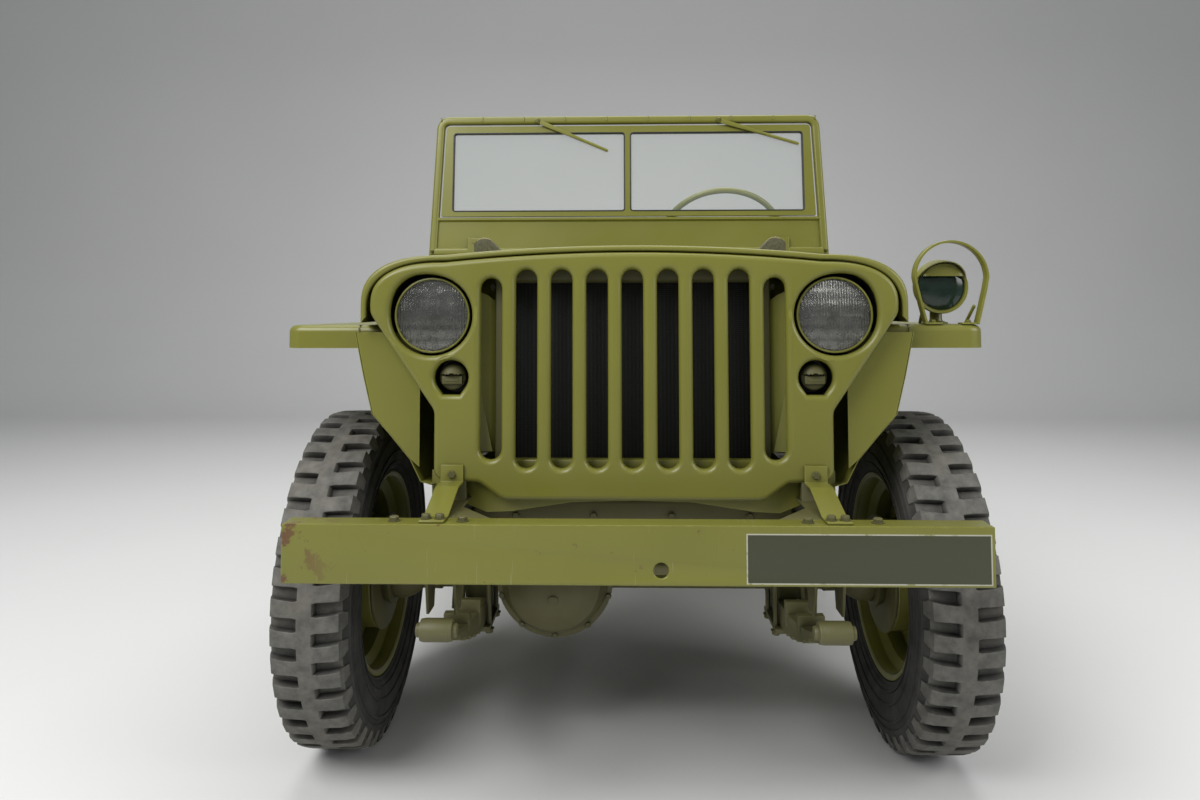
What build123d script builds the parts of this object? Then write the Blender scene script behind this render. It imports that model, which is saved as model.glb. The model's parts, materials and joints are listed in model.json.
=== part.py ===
from build123d import *
import math
import os

# Quarter-ton 4x4 utility car, millimetres. Front faces -Y, +X is the car's left, +Z up.
# The origin is on the ground under the middle of the car's box.
os.makedirs("parts", exist_ok=True)

# Main driving dimensions
WHEELBASE = 2032.0
FRONT_OVERHANG = 500.0      # bumper face to front axle
REAR_OVERHANG = 798.0       # rear axle to the spare's outer face
TAIL_OVERHANG = 560.0       # rear axle to the tail panel's outer face
TRACK = 1240.0
SHEET = 3.0                 # body sheet
GAP = 0.3                   # clearance between pieces that seat on each other

LENGTH = FRONT_OVERHANG + WHEELBASE + REAR_OVERHANG
Y_FRONT = -LENGTH / 2
AXLE_F = Y_FRONT + FRONT_OVERHANG
AXLE_R = AXLE_F + WHEELBASE
Y_TAIL = AXLE_R + TAIL_OVERHANG

# Tyres and wheels
TYRE_R = 360.0
TYRE_W = 160.0              # section width
TREAD_W = 138.0
LUGS = 22                   # lugs a side
LUG_H = 12.0
LUG_W = 44.0
LUG_BAND = 30.0             # continuous band in the middle of the tread
WALL_DROP = 62.0            # tread edge down to the widest ring
WALL_SLOPE = 40.0           # widest ring above the rim flange
BEAD_R = 206.0
FLANGE_R = 220.0
RIM_W = 116.0
RIM_T = 5.0
WELL_R = 188.0
DISC_X = 14.0               # wheel disc outboard of the wheel's middle plane
DISC_T = 6.0
HUB_R = 58.0
HUB_OUT = 62.0              # hub cap's reach outboard
STUD_R = 69.85              # radius of the five-stud circle
STUDS = 5
NUT_R = 11.0
DRUM_R = 122.0
DRUM_W = 46.0

# Steering
KING_X = 520.0              # kingpin from the middle plane
BALL_R = 60.0
CUP_T = 14.0
CUP_FACE = 14.0             # cup's mouth outboard of the kingpin
PLATE_X = 556.0             # brake backing plate
PLATE_T = 5.0
SPINDLE_R = 22.0
ARM_REACH = 165.0           # tie rod ahead of the axle
ARM_IN = 22.0               # tie rod pin inboard of the kingpin
ARM_T = 14.0
ROD_R = 13.0
ROD_RISE = 49.0             # tie rod above the axle
PIN_R = 9.0

# Frame
RAIL_OUT = 371.5            # half the frame's outer width
RAIL_FLANGE = 50.0
RAIL_T = 4.0
RAIL_H = 100.0
RAIL_TOP_FRONT = 583.0
RAIL_TOP_MID = 545.0
RAIL_TOP_REAR = 600.0
BUMPER_W = 1220.0
BUMPER_H = 102.0
BUMPER_D = 50.0
BUMPER_T = 5.0
CRANK_HOLE_R = 13.0
CRANK_HOLE_X = 45.0

# Springs and axles
SPRING_X = 346.5
SPRING_W = 44.0
SPRING_HALF_F = 460.0
SPRING_HALF_R = 500.0
LEAVES = 7
LEAF_T = 7.0
EYE_R = 20.0
EYE_Z = 392.0
TUBE_OUT = 36.0             # axle tube radius
DIFF_X = -170.0
DIFF_R = 118.0
SHAFT_R = 26.0

# Engine and transmission
POWER_Z = 560.0             # middle height of the gearbox shaft line

# Grille
GRILLE_Y = AXLE_F - 300.0   # outer face
GRILLE_HALF = 525.0
GRILLE_BOTTOM = 584.0
GRILLE_EAR_Z = 955.0        # the sides run straight down to here, then slope in
GRILLE_WAIST_Z = 752.0      # end of the slope
GRILLE_FOOT_HALF = 388.0
GRILLE_FOOT_R = 20.0
GRILLE_STEP = 38.0          # the middle of the foot hangs this much lower
GRILLE_DROP_HALF = 255.0
GRILLE_FLANGE = 26.0
SLOTS = 9
SLOT_PITCH = 69.7
SLOT_W = 47.0
SLOT_TOP = 1035.0
SLOT_LOW = 640.0
END_SLOT_CUT = 17.0         # the end slots stop this much shorter at each end
SLOT_LIP = 14.0
LAMP_X = 398.0
LAMP_Z = 942.0
LAMP_OPEN_R = 78.0
LAMP_LENS_R = 70.0
LAMP_DEPTH = 120.0
MARKER_X = 357.0
MARKER_Z = 820.0
MARKER_R = 33.0

# Hood and cowl
HOOD_FRONT = GRILLE_Y + 6.0
HOOD_REAR = AXLE_F + 665.0
HOOD_HALF_F = 535.0
HOOD_HALF_R = 620.0
HOOD_TOP_F = 1072.0
HOOD_TOP_R = 1095.0
HOOD_SIDE_F = 144.0         # top down to the lower edge of the side
HOOD_SIDE_R = 152.0
SHOULDER_IN = 125.0         # sloping shoulder inboard of the side
SHOULDER_DROP = 50.0
COWL_REAR = AXLE_F + 820.0
COWL_LOW = 566.0
TUNNEL_HALF = 168.0
TUNNEL_TOP = 785.0
TUNNEL_LOW = 665.0
DASH_LOW = 830.0
GLOVE_W = 260.0
GLOVE_H = 130.0
GLOVE_X = -330.0

# Body
BODY_HALF = 722.0
BODY_TOP = 955.0
SILL_Z = 640.0
BODY_LOW = 548.0
FLOOR_Z = 562.0
REAR_FLOOR_Z = 618.0
FLOOR_STEP = AXLE_R - 500.0
ENTRY_FRONT = AXLE_F + 925.0
ENTRY_REAR = AXLE_F + 1495.0
ARCH_R = 420.0
HOUSE_TOP = 820.0
HOUSE_IN = 455.0            # inner wall of the rear wheel house
HOUSE_HALF = 470.0          # wheel house's half length

# Fenders
FENDER_OUT = 715.0
FENDER_IN = 500.0
FENDER_TOP = 922.0
FENDER_FRONT = AXLE_F - 232.0
FENDER_LIP = 47.0
FENDER_BEND = AXLE_F + 330.0
FENDER_FOOT_Z = 600.0

# Windscreen
SCREEN_HALF_LOW = 652.0
SCREEN_HALF_TOP = 632.0
PIVOT_Z = 1120.0
SCREEN_TOP_Z = 1598.0
SCREEN_TUBE = 30.0
SCREEN_PANEL_TOP = 1258.0
SCREEN_Y = COWL_REAR - 4.0
SCREEN_LEAN = 4.0           # degrees back from upright
PANE_W = 572.0
GLASS_T = 6.0

# Seats
SEAT_W = 430.0
SEAT_D = 400.0
SEAT_Z = 775.0              # underside of the front cushions
SEAT_Y = AXLE_F + 1330.0    # middle of the front cushions
SEAT_X = 335.0
CUSHION_T = 75.0
BACK_H = 290.0
TUBE_R = 12.5
REAR_SEAT_Y = AXLE_R + 60.0
REAR_SEAT_W = 860.0

# Steering wheel and column
COLUMN_X = 335.0
COLUMN_R = 19.0
STEER_R = 215.0
STEER_Y = COWL_REAR + 270.0
STEER_Z = 1195.0
STEER_TILT = 38.0           # column above the horizontal, degrees

# Spare wheel and rear fittings
SPARE_Z = 968.0
SPARE_X = -170.0
SPARE_Y = Y_TAIL + 238.0 - TYRE_W / 2
HOOK_Z = 545.0


def polygon_radius(flat_radius, sides):
    """Corner radius of a regular polygon whose flats lie at flat_radius."""
    return flat_radius / math.cos(math.pi / sides)


def turns_about_x(count, phase, flip):
    """Locations turned about X in equal steps, the other way round when flip is 180."""
    return [Location((0, 0, 0), ((i + phase) * 360 / count, 0, flip)) for i in range(count)]


# Lug tyre about the X axis, its middle plane at x = 0: flat-sided rings with bars on the tread
tread_r = TYRE_R - LUG_H
with BuildPart() as lug:
    with BuildSketch(Plane.XZ.offset(-LUG_W / 2)):
        Polygon(
            (LUG_BAND / 2 - 3, tread_r - 4),
            (TREAD_W / 2 - 1, tread_r - 4),
            (TREAD_W / 2 - 6, TYRE_R - 0.6),
            (LUG_BAND / 2 - 3, TYRE_R - 0.6),
            align=None,
        )
    extrude(amount=LUG_W)

with BuildPart() as half_carcass:
    with BuildSketch(Plane.YZ):
        RegularPolygon(polygon_radius(tread_r, LUGS), LUGS, rotation=90)
    extrude(amount=TREAD_W / 2)
    for x, r in ((TREAD_W / 2, tread_r), (TYRE_W / 2, tread_r - WALL_DROP)):
        with BuildSketch(Plane.YZ.offset(x)):
            RegularPolygon(polygon_radius(r, LUGS), LUGS, rotation=90)
    loft()

with BuildPart() as tyre:
    with Locations(Location((0, 0, 0)), Location((0, 0, 0), (180 / LUGS, 0, 180))):
        add(half_carcass.part)
    with BuildSketch(Plane.YZ.offset(-LUG_BAND / 2)):
        RegularPolygon(TYRE_R, LUGS, rotation=90)
    extrude(amount=LUG_BAND)
    with BuildSketch(Plane.YZ.offset(-TYRE_W / 2)):
        RegularPolygon(polygon_radius(BEAD_R + GAP, LUGS), LUGS, rotation=90)
    extrude(amount=TYRE_W, mode=Mode.SUBTRACT)
    # The walls run down to the bead just outboard of the rim's flanges
    for side in (1, -1):
        for x, r in ((RIM_W / 2 - GAP, FLANGE_R + GAP), (TYRE_W / 2 + 1, FLANGE_R + WALL_SLOPE)):
            with BuildSketch(Plane.YZ.offset(side * x)):
                RegularPolygon(polygon_radius(r, LUGS), LUGS, rotation=90)
        loft(mode=Mode.SUBTRACT)
    with Locations(*turns_about_x(LUGS, 0, 0), *turns_about_x(LUGS, 0.5, 180)):
        add(lug.part)

# Two-piece steel wheel, outboard towards +X: rim with well and flanges, dished disc, hub and nuts
with BuildPart() as rim:
    with BuildSketch(Plane.XY):
        with BuildLine():
            Polyline(
                (-RIM_W / 2, FLANGE_R),
                (-RIM_W / 2, BEAD_R),
                (-RIM_W / 4, BEAD_R),
                (-RIM_W / 6, WELL_R),
                (RIM_W / 6, WELL_R),
                (RIM_W / 4, BEAD_R),
                (RIM_W / 2, BEAD_R),
                (RIM_W / 2, FLANGE_R),
                (RIM_W / 2 + 4, FLANGE_R),
                (RIM_W / 2 + 4, BEAD_R - RIM_T),
                (RIM_W / 4 + 3, BEAD_R - RIM_T),
                (RIM_W / 6 + 3, WELL_R - RIM_T),
                (-RIM_W / 6 - 3, WELL_R - RIM_T),
                (-RIM_W / 4 - 3, BEAD_R - RIM_T),
                (-RIM_W / 2 - 4, BEAD_R - RIM_T),
                (-RIM_W / 2 - 4, FLANGE_R),
                close=True,
            )
        make_face()
    revolve(axis=Axis.X)
    with BuildSketch(Plane.XY):
        with BuildLine():
            Polyline(
                (DISC_X, WELL_R - 1),
                (DISC_X, HUB_R + 60),
                (DISC_X + 22, HUB_R + 30),
                (DISC_X + 22, HUB_R - 20),
                (DISC_X + 22 + DISC_T, HUB_R - 20),
                (DISC_X + 22 + DISC_T, HUB_R + 32),
                (DISC_X + DISC_T, HUB_R + 62),
                (DISC_X + DISC_T, WELL_R - 1),
                close=True,
            )
        make_face()
    revolve(axis=Axis.X)
    with BuildSketch(Plane.YZ.offset(DISC_X + 22)):
        Circle(HUB_R - 16)
    extrude(amount=HUB_OUT - DISC_X - 22, taper=6)
    with BuildSketch(Plane.YZ.offset(DISC_X + 22)):
        with PolarLocations(STUD_R, STUDS):
            RegularPolygon(NUT_R, 6)
    extrude(amount=DISC_T + 14)


# Brake drum and hub barrel, which turn with the wheel, bored for the spindle
DRUM_IN = PLATE_X + PLATE_T + 2 - TRACK / 2
with BuildPart() as wheel:
    add(rim.part)
    with BuildSketch(Plane.XY):
        with BuildLine():
            Polyline(
                (DRUM_IN, DRUM_R),
                (DRUM_IN + DRUM_W, DRUM_R),
                (DRUM_IN + DRUM_W, 45),
                (DISC_X + 24, 45),
                (DISC_X + 24, 10),
                (DRUM_IN + DRUM_W - 6, 10),
                (DRUM_IN + DRUM_W - 6, DRUM_R - 6),
                (DRUM_IN, DRUM_R - 6),
                close=True,
            )
        make_face()
    revolve(axis=Axis.X)
    with BuildSketch(Plane.YZ.offset(DRUM_IN)):
        Circle(SPINDLE_R + 0.4)
    extrude(amount=DISC_X + 22 - DRUM_IN, mode=Mode.SUBTRACT)

# The wheels stand at the four hubs; those on the right are turned about
WHEEL_PLACES = (
    # name, x, y, turn about Z
    ("front_left", TRACK / 2, AXLE_F, 0),
    ("front_right", -TRACK / 2, AXLE_F, 180),
    ("rear_left", TRACK / 2, AXLE_R, 0),
    ("rear_right", -TRACK / 2, AXLE_R, 180),
)
for name, x, y, turn in WHEEL_PLACES:
    for shape, kind in ((tyre, "tyre"), (wheel, "wheel")):
        with BuildPart() as placed:
            with Locations(Location((x, y, TYRE_R), (0, 0, turn))):
                add(shape.part)
        placed.part.label = kind + "_" + name
        export_step(placed.part, "parts/" + kind + "_" + name + ".step")

# Spare wheel, upright across the tail panel
spare_at = Location((SPARE_X, SPARE_Y, SPARE_Z), (0, 0, 90))
with BuildPart() as spare_tyre:
    with Locations(spare_at):
        add(tyre.part)
spare_tyre.part.label = "spare_tyre"
export_step(spare_tyre.part, "parts/spare_tyre.step")

with BuildPart() as spare_rim:
    with Locations(spare_at):
        add(rim.part)
    # Carrier: post and cross plate from the tail panel to the wheel's disc
    with BuildSketch(Plane.XZ.offset(-Y_TAIL - GAP)):
        with Locations((SPARE_X, SPARE_Z)):
            Rectangle(150, 170)
    extrude(amount=-8)
    with BuildSketch(Plane.XZ.offset(-Y_TAIL - GAP)):
        with Locations((SPARE_X, SPARE_Z)):
            Circle(34)
    extrude(amount=-(SPARE_Y - Y_TAIL + DISC_X + 23))
spare_rim.part.label = "spare_rim"
export_step(spare_rim.part, "parts/spare_rim.step")

# Ladder frame: two channel rails open inwards, tied by tubes and channels
RAIL_LINE = (
    # y, z of the rail's top
    (Y_FRONT + BUMPER_D + GAP, RAIL_TOP_FRONT),
    (AXLE_F + 350, RAIL_TOP_FRONT),
    (AXLE_F + 600, RAIL_TOP_MID),
    (AXLE_R - 480, RAIL_TOP_MID),
    (AXLE_R - 230, RAIL_TOP_REAR),
    (Y_TAIL - 12, RAIL_TOP_REAR),
)
rail_outline = list(RAIL_LINE) + [(y, z - RAIL_H) for y, z in reversed(RAIL_LINE)]
CROSS_TUBES = (
    # y, z, radius
    (Y_FRONT + 90, RAIL_TOP_FRONT - RAIL_H / 2, 30),
    (AXLE_F + 300, RAIL_TOP_FRONT - RAIL_H + 9, 20),
    (AXLE_F + 1152, RAIL_TOP_MID - 29, 22),
    (AXLE_R - 330, RAIL_TOP_MID - RAIL_H / 2 + 22, 26),
    (AXLE_R + 130, RAIL_TOP_REAR - RAIL_H / 2, 26),
)
BODY_PADS = (
    # x, y, from, to
    (SPRING_X, GRILLE_Y + GRILLE_FLANGE / 2, RAIL_TOP_FRONT - 2, GRILLE_BOTTOM + GRILLE_STEP - GAP),
    (SPRING_X, AXLE_F + 700, RAIL_TOP_MID - 2, FLOOR_Z - SHEET - GAP),
    (SPRING_X, AXLE_F + 1380, RAIL_TOP_MID - 2, FLOOR_Z - SHEET - GAP),
    (SPRING_X, AXLE_R + 60, RAIL_TOP_REAR - 2, REAR_FLOOR_Z - SHEET - GAP),
    (SPRING_X, Y_TAIL - 60, RAIL_TOP_REAR - 2, REAR_FLOOR_Z - SHEET - GAP),
    (100, AXLE_F + 300, RAIL_TOP_FRONT - RAIL_H + 14, POWER_Z - 30 - GAP),
)
with BuildPart() as frame:
    with BuildSketch(Plane.YZ.offset(RAIL_OUT)):
        Polygon(*rail_outline, align=None)
    extrude(amount=-RAIL_FLANGE)
    with BuildSketch(Plane.YZ.offset(RAIL_OUT - RAIL_T)):
        Polygon(*rail_outline, align=None)
        offset(amount=-RAIL_T, mode=Mode.REPLACE)
    extrude(amount=-RAIL_FLANGE, mode=Mode.SUBTRACT)
    # Spring hangers and shackle brackets under the rail
    for y, top in (
        (AXLE_F - SPRING_HALF_F + 60, RAIL_TOP_FRONT - RAIL_H),
        (AXLE_F + SPRING_HALF_F, RAIL_TOP_MID - RAIL_H + 24),
        (AXLE_R - SPRING_HALF_R, RAIL_TOP_MID - RAIL_H),
        (AXLE_R + SPRING_HALF_R - 30, RAIL_TOP_REAR - RAIL_H),
    ):
        for side in (1, -1):
            with BuildSketch(Plane.YZ.offset(SPRING_X + side * (SPRING_W / 2 + 0.5))):
                Polygon(
                    (y - 40, top + 2),
                    (y + 40, top + 2),
                    (y + 22, EYE_Z + 14),
                    (y - 22, EYE_Z + 14),
                    align=None,
                )
            extrude(amount=5 * side)
    mirror(about=Plane.YZ)
    for y, z, r in CROSS_TUBES:
        with BuildSketch(Plane.YZ.offset(-RAIL_OUT + RAIL_T / 2)):
            with Locations((y, z)):
                Circle(r)
                Circle(r - 4, mode=Mode.SUBTRACT)
        extrude(amount=2 * RAIL_OUT - RAIL_T)
    # Rear cross channel that carries the pintle
    with BuildSketch(Plane.XZ.offset(-(Y_TAIL - 16))):
        with Locations((0, RAIL_TOP_REAR - RAIL_H / 2)):
            Rectangle(2 * RAIL_OUT - 2 * RAIL_T + 2, RAIL_H - 6)
    extrude(amount=5)
    # Pads that carry the body, grille and engine
    for x, y, low, top in BODY_PADS:
        for side in (1, -1):
            with BuildSketch(Plane.XY.offset(low)):
                with Locations((side * x, y)):
                    Rectangle(40, 22)
            extrude(amount=top - low)
    # Gussets behind the bumper
    for side in (1, -1):
        with BuildSketch(Plane.XY.offset(RAIL_TOP_FRONT - 1)):
            Polygon(
                (side * (RAIL_OUT - RAIL_FLANGE + 2), Y_FRONT + BUMPER_D + GAP),
                (side * (RAIL_OUT - RAIL_FLANGE - 70), Y_FRONT + BUMPER_D + GAP),
                (side * (RAIL_OUT - RAIL_FLANGE + 2), Y_FRONT + 150),
                align=None,
            )
        extrude(amount=-4)
frame.part.label = "frame"
export_step(frame.part, "parts/frame.step")

# Front bumper: channel open to the rear with the hole for the starting crank
BUMPER_Z = RAIL_TOP_FRONT - BUMPER_H / 2 + 1
with BuildPart() as front_bumper:
    with BuildSketch(Plane.YZ.offset(-BUMPER_W / 2)):
        with BuildLine():
            Polyline(
                (Y_FRONT, BUMPER_Z + BUMPER_H / 2),
                (Y_FRONT + BUMPER_D, BUMPER_Z + BUMPER_H / 2),
                (Y_FRONT + BUMPER_D, BUMPER_Z + BUMPER_H / 2 - BUMPER_T),
                (Y_FRONT + BUMPER_T, BUMPER_Z + BUMPER_H / 2 - BUMPER_T),
                (Y_FRONT + BUMPER_T, BUMPER_Z - BUMPER_H / 2 + BUMPER_T),
                (Y_FRONT + BUMPER_D, BUMPER_Z - BUMPER_H / 2 + BUMPER_T),
                (Y_FRONT + BUMPER_D, BUMPER_Z - BUMPER_H / 2),
                (Y_FRONT, BUMPER_Z - BUMPER_H / 2),
                close=True,
            )
        make_face()
    extrude(amount=BUMPER_W)
    with Locations(Location((CRANK_HOLE_X, Y_FRONT, BUMPER_Z - 25), (90, 0, 0))):
        Hole(CRANK_HOLE_R, depth=60)
front_bumper.part.label = "front_bumper"
export_step(front_bumper.part, "parts/front_bumper.step")

# Straps from the bumper's top up to the grille's foot, folded at both ends
STRAP_X = 352.0
STRAP_W = 44.0
STRAP_T = 4.0
strap_low = BUMPER_Z + BUMPER_H / 2 + GAP
strap_line = (
    # y, z
    (Y_FRONT + 8, strap_low),
    (Y_FRONT + 52, strap_low),
    (GRILLE_Y - 52, GRILLE_BOTTOM + GRILLE_STEP - 6),
    (GRILLE_Y - STRAP_T - GAP, GRILLE_BOTTOM + GRILLE_STEP - 6),
    (GRILLE_Y - STRAP_T - GAP, GRILLE_BOTTOM + GRILLE_STEP + 30),
)
with BuildPart() as bumper_straps:
    with BuildSketch(Plane.YZ.offset(STRAP_X - STRAP_W / 2)):
        with BuildLine():
            FilletPolyline(*strap_line, radius=5)
            offset(amount=STRAP_T, side=Side.LEFT)
        make_face()
    extrude(amount=STRAP_W)
    mirror(about=Plane.YZ)
bumper_straps.part.label = "bumper_straps"
export_step(bumper_straps.part, "parts/bumper_straps.step")

# Rear bumperettes either side of the hook
BUMPERETTE_W = 150.0
BUMPERETTE_D = 78.0
BUMPERETTE_T = 6.0
with BuildPart() as rear_bumperettes:
    with BuildSketch(Plane.XY.offset(RAIL_TOP_REAR - RAIL_H)):
        with Locations((RAIL_OUT - RAIL_FLANGE / 2, Y_TAIL - 12 + GAP + BUMPERETTE_D / 2)):
            RectangleRounded(BUMPERETTE_W, BUMPERETTE_D, 24)
            with Locations((0, -BUMPERETTE_T)):
                RectangleRounded(BUMPERETTE_W - 2 * BUMPERETTE_T, BUMPERETTE_D, 18, mode=Mode.SUBTRACT)
            with Locations((0, -BUMPERETTE_D / 2 + 13)):
                Rectangle(BUMPERETTE_W, 26, mode=Mode.SUBTRACT)
            for edge in (-1, 1):
                with Locations((edge * (BUMPERETTE_W - BUMPERETTE_T) / 2, -BUMPERETTE_D / 2 + 20)):
                    Rectangle(BUMPERETTE_T, 40)
            with Locations((0, -BUMPERETTE_D / 2 + BUMPERETTE_T / 2)):
                Rectangle(BUMPERETTE_W, BUMPERETTE_T)
    extrude(amount=RAIL_H - 4)
    mirror(about=Plane.YZ)
rear_bumperettes.part.label = "rear_bumperettes"
export_step(rear_bumperettes.part, "parts/rear_bumperettes.step")

# Towing pintle: plate, stem and open hook with its eye seat
HOOK_EYE_R = 28.0
HOOK_T = 24.0
HOOK_REACH = 108.0          # eye centre behind the tail
with BuildPart() as pintle_hook:
    with BuildSketch(Plane.XZ.offset(-(Y_TAIL - 16) - GAP)):
        with Locations((0, HOOK_Z)):
            Rectangle(120, 90)
    extrude(amount=-10)
    with BuildSketch(Plane.XZ.offset(-(Y_TAIL - 16) - GAP)):
        with Locations((0, HOOK_Z)):
            Circle(24)
    extrude(amount=-(HOOK_REACH + 16 - HOOK_EYE_R - 2))
    with BuildSketch(Plane.YZ.offset(-HOOK_T / 2)):
        with Locations((Y_TAIL + HOOK_REACH, HOOK_Z)):
            Circle(HOOK_EYE_R + 20)
            Circle(HOOK_EYE_R, mode=Mode.SUBTRACT)
    extrude(amount=HOOK_T)
pintle_hook.part.label = "pintle_hook"
export_step(pintle_hook.part, "parts/pintle_hook.step")


# Leaf packs: rings about a centre above the spring, each leaf shorter than the one over it
def leaf_pack(y, half_length, drop):
    """One spring's side sketch on a YZ plane about the axle's y, with its eyes."""
    curve_r = (half_length**2 + drop**2) / (2 * drop)
    centre = (y, EYE_Z - drop + curve_r)
    with BuildSketch(Plane.YZ.offset(SPRING_X - SPRING_W / 2)) as sketch:
        for leaf in range(LEAVES):
            inner = curve_r + leaf * LEAF_T
            half = math.degrees(math.asin(half_length * (1 - leaf * 0.12) / curve_r))
            with BuildLine():
                upper = CenterArc(centre, inner, 270 - half, 2 * half)
                lower = CenterArc(centre, inner + LEAF_T, 270 - half, 2 * half)
                Line(upper @ 0, lower @ 0)
                Line(upper @ 1, lower @ 1)
            make_face()
        with Locations((y - half_length, EYE_Z), (y + half_length, EYE_Z)):
            Circle(EYE_R)
    return sketch.sketch


SPRINGS = (
    # axle y, half length, shackle end
    (AXLE_F, SPRING_HALF_F, -1),
    (AXLE_R, SPRING_HALF_R, 1),
)
SPRING_DROP = 84.0
SPRING_LOW = EYE_Z - SPRING_DROP - LEAVES * LEAF_T
with BuildPart() as leaf_springs:
    for y, half_length, shackle in SPRINGS:
        extrude(leaf_pack(y, half_length, SPRING_DROP), amount=SPRING_W)
        # Saddle under the pack and U-bolts up round the axle tube
        with BuildSketch(Plane.XY.offset(SPRING_LOW - 10)):
            with Locations((SPRING_X, y)):
                Rectangle(SPRING_W + 26, 150)
        extrude(amount=10.5)
    mirror(about=Plane.YZ)
leaf_springs.part.label = "leaf_springs"
export_step(leaf_springs.part, "parts/leaf_springs.step")


# Differential: bowl and cover ahead, pinion nose towards +Y, about its own middle
DIFF_NOSE = 200.0
with BuildPart() as differential:
    with BuildSketch(Plane.XY):
        with BuildLine():
            Polyline(
                (0, -DIFF_R),
                (50, -DIFF_R),
                (100, 22 - DIFF_R),
                (DIFF_R, 60 - DIFF_R),
                (DIFF_R, 40),
                (48, 120),
                (42, DIFF_NOSE),
                (0, DIFF_NOSE),
                close=True,
            )
        make_face()
    revolve(axis=Axis.Y)


# Axles: tube, differential offset to the right, spring perches
def axle_body(y, half_tube, turn):
    """Tube and differential of one axle at y; turn points the pinion nose."""
    with BuildPart() as body:
        with BuildSketch(Plane.YZ.offset(-half_tube)):
            with Locations((y, TYRE_R)):
                Circle(TUBE_OUT)
        extrude(amount=2 * half_tube)
        with Locations(Location((DIFF_X, y, TYRE_R), (0, 0, turn))):
            add(differential.part)
        for side in (1, -1):
            with BuildSketch(Plane.XY.offset(EYE_Z - SPRING_DROP + 0.6)):
                with Locations((side * SPRING_X, y)):
                    Rectangle(SPRING_W + 10, 60)
            extrude(amount=TYRE_R - TUBE_OUT - EYE_Z + SPRING_DROP + 16)
    return body.part


with BuildPart() as front_axle:
    add(axle_body(AXLE_F, KING_X, 0))
    for turn in (0, 180):
        with BuildSketch(Plane.XY) as ball:
            with BuildLine():
                rim_arc = CenterArc((KING_X, 0), BALL_R, 0, 140)
                Polyline(rim_arc @ 1, (KING_X - 90, TUBE_OUT + 4), (KING_X - 90, 0), (KING_X + BALL_R, 0))
            make_face()
        with Locations(Location((0, AXLE_F, TYRE_R), (0, 0, turn))):
            add(revolve(ball.sketch, axis=Axis.X, mode=Mode.PRIVATE))
front_axle.part.label = "front_axle"
export_step(front_axle.part, "parts/front_axle.step")

with BuildPart() as rear_axle:
    add(axle_body(AXLE_R, PLATE_X, 180))
    for side in (1, -1):
        with BuildSketch(Plane.YZ.offset(side * PLATE_X)):
            with Locations((AXLE_R, TYRE_R)):
                Circle(DRUM_R + 4)
        extrude(amount=side * PLATE_T)
        with BuildSketch(Plane.YZ.offset(side * PLATE_X)):
            with Locations((AXLE_R, TYRE_R)):
                Circle(SPINDLE_R)
        extrude(amount=side * (TRACK / 2 - PLATE_X + DISC_X + 10))
rear_axle.part.label = "rear_axle"
export_step(rear_axle.part, "parts/rear_axle.step")

# Knuckles: open cup round the axle's ball, backing plate, spindle and steering arm
ROD_Y = AXLE_F - ARM_REACH
ROD_Z = TYRE_R + ROD_RISE
cup_in = BALL_R + 1.0
cup_out = cup_in + CUP_T
cup_angle = math.degrees(math.acos(CUP_FACE / cup_in))
with BuildPart() as knuckle:
    with BuildSketch(Plane.XY):
        with BuildLine():
            inner = CenterArc((0, 0), cup_in, 0, cup_angle)
            outer = CenterArc((0, 0), cup_out, 0, cup_angle)
            Line(inner @ 0, outer @ 0)
            Line(inner @ 1, outer @ 1)
        make_face()
    revolve(axis=Axis.X)
    with BuildSketch(Plane.YZ.offset(PLATE_X - KING_X)):
        Circle(DRUM_R + 4)
        Circle(cup_in - 4, mode=Mode.SUBTRACT)
    extrude(amount=PLATE_T)
    with BuildSketch(Plane.YZ.offset(cup_in + 2)):
        Circle(SPINDLE_R)
    extrude(amount=TRACK / 2 - KING_X - cup_in - 2 + DISC_X + 10)
    # Arm above the ball, forward to the tie rod's pin
    with BuildSketch(Plane.XY.offset(cup_in + 3)):
        Polygon(
            (32, 27),
            (-22, 27),
            (-22, -27),
            (-ARM_IN - 17, -ARM_REACH),
            (-ARM_IN - 12, -ARM_REACH - 14),
            (-ARM_IN + 12, -ARM_REACH - 14),
            (-ARM_IN + 17, -ARM_REACH),
            (32, -27),
            align=None,
        )
    extrude(amount=ARM_T)
    with Locations((26, 0, cup_in + 8)):
        Box(20, 54, 22)

knuckle_at = Location((KING_X, AXLE_F, TYRE_R))
with BuildPart() as knuckle_left:
    with Locations(knuckle_at):
        add(knuckle.part)
    with BuildSketch(Plane.XY.offset(ROD_Z - ROD_R)):
        with Locations((KING_X - ARM_IN, ROD_Y)):
            Circle(PIN_R)
    extrude(amount=TYRE_R + cup_in + 5 - ROD_Z + ROD_R)
knuckle_left.part.label = "knuckle_left"
export_step(knuckle_left.part, "parts/knuckle_left.step")

with BuildPart() as knuckle_right:
    add(mirror(knuckle_at * knuckle.part, about=Plane.YZ))
knuckle_right.part.label = "knuckle_right"
export_step(knuckle_right.part, "parts/knuckle_right.step")

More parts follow.
